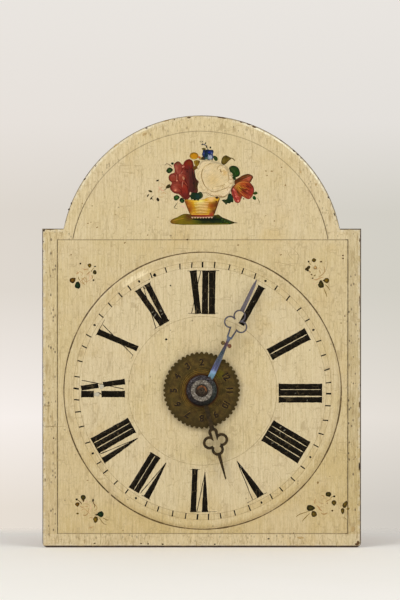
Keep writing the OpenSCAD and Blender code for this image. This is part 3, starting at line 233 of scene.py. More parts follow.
# Sawn and planed wood with its grain along Z: year rings, fine pores, handling dirt.
def woodGroup():
    graph, given, result = newGroup(
        "woodFigure",
        [("Place", "Vector", None), ("Pale", "Color", tone(160, 115, 66)),
         ("Dark", "Color", tone(104, 66, 34)), ("Rings", "Float", 1.0),
         ("Pores", "Float", 0.5), ("Dirt", "Float", 0.4)],
        [("Colour", "Color"), ("Height", "Float"), ("Roughness", "Float")],
    )
    place = given["Place"]
    long_ = graph.stretch(place, (0.09, 0.09, 0.006))
    sweep = graph.noise(long_, 1.0, 3.0, 0.5, 0.6)
    rings = graph.math("PINGPONG", graph.times(sweep, graph.times(given["Rings"], 16.0)), 1.0)
    rings = graph.math("POWER", rings, 1.8)
    fibre = graph.noise(graph.stretch(place, (2.4, 2.4, 0.09)), 1.0, 3.0, 0.6)
    pore = graph.span(graph.noise(graph.stretch(place, (4.2, 4.2, 0.35)), 1.0, 2.0), 0.60, 0.72)
    pore = graph.times(pore, given["Pores"])
    mixed = graph.plus(graph.times(rings, 0.55), graph.times(fibre, 0.65))
    colour = graph.blend(graph.span(mixed, 0.1, 1.05, kind="LINEAR"), given["Pale"], given["Dark"])
    deep = graph.blend(1.0, given["Dark"], (0.42, 0.38, 0.34, 1.0), "MULTIPLY")
    colour = graph.blend(graph.times(pore, 0.8), colour, deep)
    cloud = graph.span(graph.noise(place, 0.028, 4.0, 0.6), 0.42, 0.72)
    colour = graph.blend(graph.times(cloud, given["Dirt"]), colour, deep)
    graph.feed(result["Colour"], colour)
    height = graph.minus(graph.times(fibre, 0.06), graph.times(pore, 0.12))
    graph.feed(result["Height"], graph.minus(height, graph.times(rings, 0.03)))
    graph.feed(result["Roughness"], graph.span(mixed, 0.0, 1.0, 0.5, 0.68, "LINEAR"))
    return graph.tree


# Old metal: a bright and a dull colour in clouds, small pits and hairline scratches.
def metalGroup():
    graph, given, result = newGroup(
        "agedMetal",
        [("Place", "Vector", None), ("Bright", "Color", tone(170, 140, 80)),
         ("Dull", "Color", tone(90, 68, 34)), ("Age", "Float", 0.5), ("Grain", "Float", 1.0)],
        [("Colour", "Color"), ("Height", "Float"), ("Roughness", "Float")],
    )
    place = given["Place"]
    fine = graph.times(0.9, given["Grain"])
    cloud = graph.noise(place, graph.times(0.12, given["Grain"]), 5.0, 0.62, 0.3)
    grit = graph.noise(place, fine, 4.0, 0.65)
    share = graph.plus(graph.times(cloud, 0.7), graph.times(grit, 0.3))
    low = graph.minus(0.78, graph.times(given["Age"], 0.55))
    share = graph.span(share, graph.minus(low, 0.12), graph.plus(low, 0.14))
    colour = graph.blend(share, given["Bright"], given["Dull"])
    scratch = graph.noise(graph.stretch(place, (0.25, 1.0, 7.0)), 1.0, 2.0)
    scratch = graph.span(scratch, 0.64, 0.72)
    colour = graph.blend(graph.times(scratch, 0.22), colour, given["Bright"])
    graph.feed(result["Colour"], colour)
    graph.feed(result["Height"], graph.plus(graph.times(grit, 0.05), graph.times(scratch, -0.02)))
    graph.feed(result["Roughness"], graph.span(share, 0.0, 1.0, 0.34, 0.6, "LINEAR"))
    return graph.tree


crackle = crackleGroup()
specks = speckGroup()
softEdge = edgeGroup()
woodFigure = woodGroup()
agedMetal = metalGroup()


def addObject(name, data):
    made = bpy.data.objects.new(name, data)
    bpy.context.scene.collection.objects.link(made)
    return made


def newMaterial(name):
    material = bpy.data.materials.new(name)
    material.use_nodes = True
    graph = Graph(material.node_tree)
    shader = next(n for n in material.node_tree.nodes if n.type == "BSDF_PRINCIPLED")
    return material, graph, shader


def finishSurface(graph, shader, colour, roughness, height, radius):
    edge = graph.group(softEdge, Radius=radius * mm)
    bump = graph.node("Bump", {"Strength": 1.0, "Distance": bumpDistance, "Height": height,
                               "Normal": edge["Normal"]})
    graph.feed(shader.inputs["Base Color"], colour)
    graph.feed(shader.inputs["Roughness"], roughness)
    graph.feed(shader.inputs["Normal"], bump.outputs[0])


# Painted board: cream lacquer in slightly different tones by zone, painted lines, cracks, specks,
# a painted highlight on the dial's rim and along the arch's edges, a rubbed brown outline with
# painted shade along the foot, dirty side faces and a bare wooden back.
boardLook = {
    "field": tone(209, 190, 145), "centre": tone(208, 189, 141), "ring": tone(211, 194, 153),
    "corner": tone(204, 184, 136), "border": tone(201, 182, 137),
    "dialLine": tone(82, 61, 20), "thinLine": tone(86, 70, 38), "crack": tone(138, 113, 70),
    "speck": tone(70, 54, 34), "worn": tone(82, 56, 44), "chalk": tone(232, 224, 200),
    "hairLine": tone(148, 126, 86), "sheen": tone(250, 234, 194), "glint": tone(252, 246, 218),
    "side": tone(104, 78, 52), "woodPale": tone(150, 108, 62), "woodDark": tone(98, 62, 32),
}


# Painted lines: (centre, half sizes) of the frame and (centre, radius) of the arch's two arcs.
# "dial", "track", "inner" and "sheen" are radii about ringCentre.
boardLines = {
    "frame": ((0.7, 121.05), (109.3, 110.6)), "archLeft": ((0.7, 214.1), 99.3),
    "archRight": ((-0.3, 216.8), 96.4), "dial": 104.35, "dialGap": (-69.3, 40.2), "track": (93.0, 97.1),
    "inner": 56.0, "sheen": 99.2, "sheenMiddle": (-50.0, 203.4),
}


def boardMaterial():
    lines = boardLines
    look = boardLook
    material, graph, shader = newMaterial("paintedBoard")
    place = graph.place()
    x, _, z = graph.split(place)
    facing = graph.split(graph.node("TexCoord").outputs["Normal"])[1]
    flat = graph.join(x, 0.0, z)
    fromDial = graph.away(flat, dialCentre)
    fromArch = graph.away(flat, archCentre)
    wide = graph.math("ABSOLUTE", x)
    inSquare = graph.least(graph.minus(boardHalf, wide), graph.least(z, graph.minus(shoulder, z)))
    inside = graph.most(inSquare, graph.minus(archRadius, fromArch))

    # Zones
    colour = graph.blend(graph.span(fromDial, 104.0, 108.0), look["ring"], look["corner"])
    colour = graph.blend(graph.span(fromDial, 91.0, 96.0), colour, look["corner"])
    colour = graph.blend(graph.span(fromDial, 50.0, 60.0, 1.0, 0.0), colour, look["centre"])
    colour = graph.blend(graph.span(z, 231.0, 233.0), colour, look["field"])
    outer = graph.most(graph.span(wide, 108.6, 109.8), graph.span(z, 9.6, 10.6, 1.0, 0.0))
    outer = graph.times(outer, graph.span(z, 238.0, 242.0, 1.0, 0.0))
    colour = graph.blend(outer, colour, look["border"])

    rightSide = graph.times(outer, graph.span(x, 104.0, 112.0, 0.0, 0.62))
    colour = graph.blend(rightSide, colour, tone(176, 158, 112))
    lower = graph.times(graph.span(z, 14.0, 120.0, 0.5, 0.0), graph.span(fromDial, 92.0, 106.0))
    lower = graph.times(lower, graph.span(z, 9.4, 11.0))
    colour = graph.blend(lower, colour, tone(194, 168, 104))
    lowSide = graph.times(outer, graph.span(z, 20.0, 130.0, 0.5, 0.0))
    lowSide = graph.times(lowSide, graph.span(x, -112.0, -106.0, 1.0, 0.0))
    colour = graph.blend(lowSide, colour, tone(178, 150, 94))

    foot = graph.span(z, 10.6, 9.6, 0.0, 0.35)
    colour = graph.blend(foot, colour, tone(236, 220, 184))

    # Clouds and brush marks of the lacquer
    cloud = graph.noise(place, 0.022, 4.0, 0.6, 0.4)
    colour = graph.blend(graph.span(cloud, 0.35, 0.65, 0.0, 0.5), colour, tone(214, 196, 160))
    warm = graph.noise(graph.vector("ADD", place, (31.0, 7.0, 55.0)), 0.03, 3.0, 0.6)
    colour = graph.blend(graph.span(warm, 0.5, 0.75, 0.0, 0.6), colour, tone(201, 175, 118))
    grain = graph.noise(graph.stretch(place, (1.3, 1.0, 0.035)), 1.0, 3.0, 0.6)
    colour = graph.blend(graph.span(grain, 0.45, 0.72, 0.0, 0.34), colour, tone(178, 154, 104))
    colour = graph.blend(graph.span(grain, 0.5, 0.28, 0.0, 0.4), colour, tone(220, 206, 168))
    sand = graph.noise(graph.stretch(place, (1.0, 1.0, 0.5)), 1.5, 3.0, 0.7)
    colour = graph.blend(graph.span(sand, 0.54, 0.7, 0.0, 0.36), colour, tone(160, 138, 92))
    colour = graph.blend(graph.span(sand, 0.46, 0.32, 0.0, 0.3), colour, tone(230, 214, 178))
    tufts = graph.noise(graph.stretch(place, (0.85, 1.0, 0.1)), 1.0, 4.0, 0.68)
    edgeZone = graph.most(outer, graph.span(inside, 6.0, 16.0, 0.85, 0.5))
    tuft = graph.times(graph.span(tufts, 0.53, 0.66, 0.0, 0.62), edgeZone)
    colour = graph.blend(tuft, colour, tone(150, 124, 76))
    tuft = graph.times(graph.span(tufts, 0.46, 0.34, 0.0, 0.5), edgeZone)
    colour = graph.blend(tuft, colour, tone(226, 208, 164))

    # Painted lines
    def line(distance, at, half, soft=0.18):
        off = graph.math("ABSOLUTE", graph.minus(distance, at))
        return graph.span(off, half, half + soft, 1.0, 0.0)

    def arcOff(centre, radius):
        return graph.minus(graph.away(flat, centre), radius)

    middle, half = lines["frame"]
    frameX = graph.minus(graph.math("ABSOLUTE", graph.minus(x, middle[0])), half[0])
    frameZ = graph.minus(graph.math("ABSOLUTE", graph.minus(z, middle[1])), half[1])
    frameOff = graph.most(frameX, frameZ)
    thin = graph.times(line(frameOff, 0.0, 0.3), graph.span(wide, 107.5, 108.8, 0.6, 1.0))
    leftOff = arcOff(*lines["archLeft"])
    rightOff = arcOff(*lines["archRight"])
    archOff = graph.plus(graph.times(leftOff, graph.span(x, -8.0, 8.0, 1.0, 0.0)),
                         graph.times(rightOff, graph.span(x, -8.0, 8.0)))
    archLine = graph.times(line(archOff, 0.0, 0.24), graph.span(z, 231.6, 231.8))
    archLine = graph.times(archLine, graph.span(z, 245.0, 285.0, 1.0, 0.5))
    thin = graph.most(thin, archLine)
    ragged = graph.noise(place, 0.5, 4.0, 0.65)
    thin = graph.times(thin, graph.span(ragged, 0.3, 0.55, 0.6, 1.0))
    colour = graph.blend(thin, colour, look["thinLine"])
    pressure = graph.span(graph.noise(place, 0.05, 3.0), 0.35, 0.65, 0.22, 0.5)
    fromRing = graph.away(flat, ringCentre)
    offDial = graph.math("ABSOLUTE", graph.minus(fromRing, lines["dial"]))
    dialLine = graph.span(graph.minus(offDial, pressure), 0.0, 0.25, 1.0, 0.0)
    dialLine = graph.times(dialLine, graph.span(ragged, 0.28, 0.5, 0.6, 1.0))
    gap = graph.away(flat, lines["dialGap"])
    dialLine = graph.times(dialLine, graph.span(gap, 0.9, 1.4))
    colour = graph.blend(dialLine, colour, look["dialLine"])
    hair = graph.most(*[line(fromRing, at, 0.12) for at in lines["track"]])
    hair = graph.most(hair, line(fromRing, lines["inner"], 0.14))
    hair = graph.times(hair, graph.span(ragged, 0.35, 0.6, 0.2, 0.8))
    colour = graph.blend(hair, colour, look["hairLine"])
    sheen = graph.times(line(fromRing, lines["sheen"], 0.8, 2.6),
                        graph.span(graph.away(flat, lines["sheenMiddle"]), 3.0, 18.0, 0.85, 0.0))
    sheen = graph.times(sheen, graph.span(tufts, 0.56, 0.4, 0.45, 1.0))
    colour = graph.blend(sheen, colour, look["sheen"])

    # Cracks and specks
    wideCracks = graph.group(crackle, Place=place, Cell=9.0, Width=0.34)["Lines"]
    tallPlace = graph.stretch(graph.vector("ADD", place, (3.0, 0.0, 11.0)), (1.0, 1.0, 0.38))
    fineCracks = graph.group(crackle, Place=tallPlace, Cell=4.6, Width=0.26)["Lines"]
    cracks = graph.most(graph.times(wideCracks, 0.36), graph.times(fineCracks, 0.33))
    colour = graph.blend(cracks, colour, look["crack"])
    fewDots = graph.group(specks, Place=place, Spacing=8.0, Size=0.6, Share=0.2)["Mask"]
    tall = graph.stretch(place, (1.0, 1.0, 0.55))
    manyDots = graph.group(specks, Place=tall, Spacing=1.7, Size=0.55, Share=0.42)["Mask"]
    nearEdge = graph.most(outer, graph.span(inside, 5.0, 14.0, 0.75, 0.1))
    patchy = graph.span(graph.noise(place, 0.05, 3.0, 0.6), 0.38, 0.6, 0.25, 1.0)
    nearEdge = graph.times(nearEdge, graph.times(patchy, graph.span(z, 9.0, 12.0, 0.5, 1.0)))
    dots = graph.most(graph.times(fewDots, 0.5), graph.times(graph.times(manyDots, nearEdge), 0.82))
    colour = graph.blend(dots, colour, look["speck"])

    # Rubbed outline: chalk ground first, a painted highlight along the upper arch edges, bare dark wood at
    # the very edge, with painted shade along the foot
    wear = graph.noise(place, 0.22, 4.0, 0.7)
    chalk = graph.times(graph.span(inside, 0.8, 3.2, 1.0, 0.0), graph.span(wear, 0.42, 0.6))
    colour = graph.blend(graph.times(chalk, 0.55), colour, look["chalk"])
    lit = graph.span(graph.math("ABSOLUTE", graph.minus(inside, 1.5)), 0.35, 1.0, 1.0, 0.0)
    lit = graph.times(lit, graph.span(graph.noise(place, 0.3, 4.0, 0.75), 0.44, 0.56, 0.1, 0.9))
    upper = graph.times(graph.span(z, 262.0, 276.0), graph.span(wide, 22.0, 44.0))
    lit = graph.times(lit, graph.times(upper, graph.span(wide, 88.0, 98.0, 1.0, 0.0)))
    colour = graph.blend(graph.times(lit, graph.span(x, -60.0, 30.0, 0.4, 0.95)), colour, look["glint"])
    # Along the foot the bare band is wider and the very edge darkest: worn wood, and also painted shade
    # where the board meets the floor.
    reach = graph.plus(graph.span(wear, 0.52, 0.78, 0.3, 2.2), graph.span(z, 0.5, 1.6, 0.9, 0.0))
    bare = graph.span(graph.minus(inside, reach), -0.4, 0.1, 1.0, 0.0)
    colour = graph.blend(graph.times(bare, 0.85), colour, look["worn"])
    squareEdge = graph.times(graph.span(wide, 103.5, 104.5), graph.span(z, 241.0, 240.5))
    side = graph.span(x, -20.0, 20.0, 0.9, 1.3)
    rim = graph.span(graph.math("DIVIDE", inside, side), 0.35, 0.95, 1.0, 0.0)
    where = graph.most(squareEdge, graph.span(z, 1.5, 1.1))
    where = graph.most(where, graph.span(z, 241.0, 246.0, 0.0, 0.6))
    rim = graph.most(graph.times(rim, where), graph.span(z, 1.7, 1.0, 0.0, 0.95))
    colour = graph.blend(graph.times(rim, graph.span(wear, 0.3, 0.5, 0.55, 0.95)), colour, tone(58, 38, 26))
    sideways = graph.span(graph.math("ABSOLUTE", facing), 0.5, 0.2)
    colour = graph.blend(graph.times(sideways, 0.8), colour, look["side"])
    wood = graph.group(woodFigure, Place=place, Pale=look["woodPale"], Dark=look["woodDark"], Rings=1.3,
                       Pores=0.2, Dirt=0.4)
    behind = graph.span(facing, 0.3, 0.7)
    colour = graph.blend(behind, colour, wood["Colour"])

    height = graph.minus(graph.times(grain, 0.05), graph.times(cracks, 0.12))
    height = graph.minus(height, graph.times(bare, 0.15))
    height = graph.plus(height, graph.times(cloud, 0.2))
    roughness = graph.span(graph.plus(grain, cracks), 0.3, 1.2, 0.3, 0.55, "LINEAR")
    roughness = graph.most(roughness, graph.times(graph.most(bare, behind), 0.72))
    height = graph.plus(height, graph.times(sand, 0.06))
    finishSurface(graph, shader, colour, roughness, height, 0.5)
    shader.inputs["Specular IOR Level"].default_value = 0.35
    return material


# Wood of the movement's box and of the turned pieces. "along" is the direction of the grain.
woodLooks = {
    "frame_beech": dict(pale=(176, 130, 80), dark=(112, 72, 38), rings=0.8, pores=0.9, dirt=0.45),
    "frame_fir": dict(pale=(186, 142, 90), dark=(128, 82, 42), rings=1.6, pores=0.15, dirt=0.4),
    "knob_wood": dict(pale=(112, 66, 38), dark=(58, 32, 18), rings=1.0, pores=0.5, dirt=0.3),
    "sprocket_wood": dict(pale=(170, 122, 72), dark=(118, 76, 40), rings=1.2, pores=0.6, dirt=0.3),
}
turnings = {"X": (0.0, math.pi / 2, 0.0), "Y": (math.pi / 2, 0.0, 0.0), "Z": (0.0, 0.0, 0.0)}


def woodMaterial(slot, along):
    look = woodLooks[slot]
    material, graph, shader = newMaterial(slot + "_" + along)
    turned = graph.node("Mapping", {"Vector": graph.place(), "Rotation": turnings[along]})
    wood = graph.group(woodFigure, Place=turned.outputs[0], Pale=tone(*look["pale"]),
                       Dark=tone(*look["dark"]), Rings=look["rings"], Pores=look["pores"], Dirt=look["dirt"])
    edge = graph.group(softEdge, Radius=0.6 * mm)
    rubbed = graph.blend(graph.times(edge["Worn"], 0.35), wood["Colour"],
                         tone(*[min(255, v * 1.2) for v in look["pale"]]))
    finishSurface(graph, shader, rubbed, wood["Roughness"], wood["Height"], 0.6)
    return material


metalLooks = {
    "washer_steel": dict(bright=(172, 165, 154), dull=(82, 74, 64), age=0.62, grain=7.0, metal=0.6),
    "stud_steel": dict(bright=(104, 88, 66), dull=(44, 34, 26), age=0.6, grain=6.0, metal=0.7),
    "wheel_brass": dict(bright=(206, 168, 92), dull=(132, 98, 48), age=0.4, grain=1.0, metal=0.9),
    "arbor_steel": dict(bright=(150, 148, 144), dull=(84, 78, 72), age=0.45, grain=1.6, metal=0.9),
    "spring_brass": dict(bright=(200, 160, 84), dull=(126, 92, 44), age=0.4, grain=1.2, metal=0.9),
    "spring_steel": dict(bright=(140, 142, 150), dull=(78, 76, 80), age=0.4, grain=1.2, metal=0.9),
    "anchor_steel": dict(bright=(138, 136, 132), dull=(70, 66, 62), age=0.5, grain=1.2, metal=0.9),
    "hammer_steel": dict(bright=(96, 90, 84), dull=(50, 42, 36), age=0.6, grain=1.0, metal=0.8),
    "bell_bronze": dict(bright=(188, 156, 98), dull=(120, 92, 52), age=0.5, grain=0.5, metal=0.9),
    "iron_fitting": dict(bright=(84, 76, 70), dull=(44, 34, 28), age=0.65, grain=0.8, metal=0.7),
    "bush_brass": dict(bright=(210, 172, 98), dull=(140, 104, 52), age=0.3, grain=1.6, metal=0.9),
}


def metalMaterial(slot):
    look = metalLooks[slot]
    material, graph, shader = newMaterial(slot)
    metal = graph.group(agedMetal, Place=graph.place(), Bright=tone(*look["bright"]),
                        Dull=tone(*look["dull"]), Age=look["age"], Grain=look["grain"])
    edge = graph.group(softEdge, Radius=0.25 * mm)
    rubbed = graph.blend(graph.times(edge["Worn"], 0.45), metal["Colour"], tone(*look["bright"]))
    finishSurface(graph, shader, rubbed, metal["Roughness"], metal["Height"], 0.25)
    shader.inputs["Metallic"].default_value = look["metal"]
    return material


# The alarm disc: brown cast brass, turned rings towards the hub painted brighter at the upper left as a
# painted highlight, a painted shadow ring round the hub, dark teeth.
def discMaterial():
    material, graph, shader = newMaterial("alarm_disc_brass")
    place = graph.place()
    x, _, z = graph.split(place)
    flat = graph.join(x, 0.0, z)
    radius = graph.away(flat, dialCentre)
    metal = graph.group(agedMetal, Place=place, Bright=tone(96, 77, 32), Dull=tone(64, 49, 18), Age=0.55,
                        Grain=2.4)
    ring = graph.math("SINE", graph.times(radius, 5.2))
    ring = graph.times(graph.span(ring, -0.2, 0.9), graph.span(radius, 12.6, 17.6, 1.0, 0.0))
    # a painted highlight: the turned rings get brighter towards the upper left
    litUpLeft = graph.span(graph.minus(z, graph.times(x, 1.2)), 108.0, 130.0, 0.2, 1.0)
    colour = graph.blend(graph.times(ring, litUpLeft), metal["Colour"], tone(150, 112, 34))
    tarnish = graph.span(graph.noise(place, 0.16, 4.0, 0.6), 0.42, 0.62, 0.0, 0.45)
    colour = graph.blend(tarnish, colour, tone(64, 56, 20))
    lowDark = graph.span(z, 88.0, 112.0, 0.5, 0.0)
    colour = graph.blend(lowDark, colour, tone(50, 36, 14))
    olive = graph.span(graph.away(flat, (14.0, 130.5)), 1.2, 4.6, 0.7, 0.0)
    colour = graph.blend(olive, colour, tone(96, 88, 8))
    shadow = graph.span(radius, 11.9, 13.4, 0.85, 0.0)
    colour = graph.blend(shadow, colour, tone(58, 24, 8))
    tips = graph.span(radius, 24.2, 26.4, 0.0, 0.62)
    colour = graph.blend(tips, colour, tone(56, 44, 10))
    height = graph.plus(metal["Height"], graph.times(ring, 0.05))
    finishSurface(graph, shader, colour, metal["Roughness"], height, 0.3)
    shader.inputs["Metallic"].default_value = 0.75
    return material


def alongHand(graph, place, angle):
    x, _, z = graph.split(graph.vector("SUBTRACT", place, (dialCentre[0], 0.0, dialCentre[1])))
    turn = math.radians(angle)
    out = graph.plus(graph.times(x, math.sin(turn)), graph.times(z, math.cos(turn)))
    across = graph.minus(graph.times(x, math.cos(turn)), graph.times(z, math.sin(turn)))
    return out, across, graph.vector("LENGTH", graph.join(x, 0.0, z))


# Blued steel that has run from straw and brown through violet to light blue along the hand.
minuteStops = [
    (0, (60, 56, 60)), (11.3, (66, 62, 66)), (12.2, (84, 120, 136)), (14.6, (112, 150, 172)),
    (16.0, (136, 164, 200)), (18.2, (92, 98, 140)), (22, (80, 84, 112)), (27, (66, 76, 92)),
    (33, (56, 70, 78)), (37, (74, 64, 78)), (40, (88, 58, 64)), (43.5, (92, 104, 124)),
    (47, (66, 66, 74)), (55, (92, 86, 90)), (62, (80, 74, 78)), (68, (90, 82, 86)),
    (78, (108, 100, 104)), (87, (104, 96, 100)), (95, (84, 76, 80)),
]


def minuteMaterial():
    material, graph, shader = newMaterial("minute_hand_steel")
    place = graph.place()
    out, across, radius = alongHand(graph, place, minuteAngle)
    sway = graph.times(graph.minus(graph.noise(place, 0.6, 3.0), 0.5), 5.0)
    share = graph.math("DIVIDE", graph.plus(out, sway), minuteLength)
    colour = graph.ramp(share, [(u / minuteLength, tone(*c)) for u, c in minuteStops])
    along = graph.span(graph.math("ABSOLUTE", graph.minus(out, 39.6)), 1.4, 2.0, 1.0, 0.0)
    beside = graph.span(graph.math("ABSOLUTE", graph.minus(across, 1.2)), 1.0, 1.5)
    ball = graph.times(along, beside)
    brassy = graph.blend(graph.span(across, 0.0, 2.0), tone(104, 82, 28), tone(112, 66, 34))
    colour = graph.blend(ball, colour, brassy)
    streak = graph.noise(graph.join(graph.times(out, 0.12), graph.times(across, 1.6), 0.0), 1.0, 3.0, 0.65)
    colour = graph.blend(graph.span(streak, 0.53, 0.68, 0.0, 0.4), colour, tone(156, 162, 172))
    colour = graph.blend(graph.span(streak, 0.47, 0.34, 0.0, 0.5), colour, tone(44, 44, 66))
    boss = graph.span(radius, 11.3, 11.8, 1.0, 0.0)
    metal = graph.group(agedMetal, Place=place, Bright=tone(92, 88, 92), Dull=tone(34, 28, 28), Age=0.66,
                        Grain=6.0)
    cast = graph.blend(graph.span(across, 0.0, 9.0, 0.0, 0.35), metal["Colour"], tone(40, 62, 50))
    z = graph.split(place)[2]
    cast = graph.blend(graph.span(z, 106.0, 118.0, 0.8, 0.0), cast, tone(20, 15, 12))
    colour = graph.blend(boss, colour, cast)
    fleck = graph.span(graph.noise(place, 2.4, 3.0, 0.7), 0.6, 0.7)
    fleck = graph.times(fleck, graph.span(z, 112.0, 122.0, 0.0, 0.55))
    colour = graph.blend(fleck, colour, tone(176, 172, 176))
    finishSurface(graph, shader, colour, metal["Roughness"], metal["Height"], 0.25)
    shader.inputs["Metallic"].default_value = 0.8
    return material


def hourMaterial():
    material, graph, shader = newMaterial("hour_hand_iron")
    place = graph.place()
    metal = graph.group(agedMetal, Place=place, Bright=tone(72, 54, 24), Dull=tone(38, 29, 12), Age=0.62,
                        Grain=2.6)
    edge = graph.group(softEdge, Radius=0.4 * mm)
    colour = graph.blend(graph.times(edge["Worn"], 0.4), metal["Colour"], tone(96, 76, 38))
    finishSurface(graph, shader, colour, metal["Roughness"], metal["Height"], 0.4)
    shader.inputs["Metallic"].default_value = 0.25
    shader.inputs["Specular IOR Level"].default_value = 0.2
    return material


# The front end of the tube is painted nearly black as shade, leaving a copper crescent at its upper
# right as a painted highlight; beyond 4.1 mm from the axis it is painted dark too.
def tubeMaterial():
    material, graph, shader = newMaterial("tube_brass")
    place = graph.place()
    out, _, radius = alongHand(graph, place, 16.0)
    metal = graph.group(agedMetal, Place=place, Bright=tone(164, 108, 66), Dull=tone(78, 46, 22), Age=0.6,
                        Grain=5.0)
    front = graph.span(graph.split(place)[1], -19.4, -19.2, 1.0, 0.0)
    tubeShade = graph.times(front, graph.span(out, -0.6, 1.4, 1.0, 0.0))
    tubeShade = graph.most(tubeShade, graph.span(radius, 3.7, 4.1))
    colour = graph.blend(graph.times(tubeShade, 0.95), metal["Colour"], tone(34, 26, 18))
    finishSurface(graph, shader, colour, metal["Roughness"], metal["Height"], 0.25)
    shader.inputs["Metallic"].default_value = 0.7
    return material


# Fixed stud: worn end with a turned groove and a centre pit
def studMaterial():
    material, graph, shader = newMaterial("stud_steel")
    look = metalLooks["stud_steel"]
    place = graph.place()
    radius = alongHand(graph, place, 0.0)[2]
    metal = graph.group(agedMetal, Place=place, Bright=tone(*look["bright"]), Dull=tone(*look["dull"]),
                        Age=look["age"], Grain=look["grain"])
    groove = graph.span(graph.math("ABSOLUTE", graph.minus(radius, 1.5)), 0.15, 0.45, 0.8, 0.0)
    pit = graph.most(groove, graph.span(radius, 0.3, 0.6, 0.8, 0.0))
    colour = graph.blend(pit, metal["Colour"], tone(26, 20, 14))
    finishSurface(graph, shader, colour, metal["Roughness"], metal["Height"], 0.25)
    shader.inputs["Metallic"].default_value = look["metal"]
    return material


grainAlong = {
    "bottom_board": "X", "top_board": "X", "shield_batten_top": "X", "shield_batten_bottom": "X",
    "knob_left": "X", "knob_right": "X", "wall_spacers": "Y", "going_sprocket": "Y",
    "alarm_sprocket": "Y",
}
special = {
    "lacquered_board": boardMaterial, "alarm_disc_brass": discMaterial,
    "minute_hand_steel": minuteMaterial, "hour_hand_iron": hourMaterial,
    "tube_brass": tubeMaterial, "stud_steel": studMaterial,
}
made = {}
for part in frame["record"]["subparts"]:
    name, slot = part["node"], part["material_slot"]
    key = slot
    if slot in woodLooks:
        key = slot + "_" + grainAlong.get(name, "Z")
    if key not in made:
        if slot in special:
            made[key] = special[slot]()
        elif slot in woodLooks:
            made[key] = woodMaterial(slot, grainAlong.get(name, "Z"))
        else:
            made[key] = metalMaterial(slot)
    for holder in nodes[name].material_slots:
        holder.material = made[key]
print("materials on CAD nodes:", len(made))


# Layers of paint lie this far apart. Strokes and dabs reach this far behind their own layer.
layerGap = 0.07
strokeSunk = 0.35
dabSunk = 0.4
# Steps in the noise from one stroke to the next
strokeSeed = 3.7
edgeSeed = 3.1
# Above the number of vertices of any mesh of paint
indexLimit = 100000


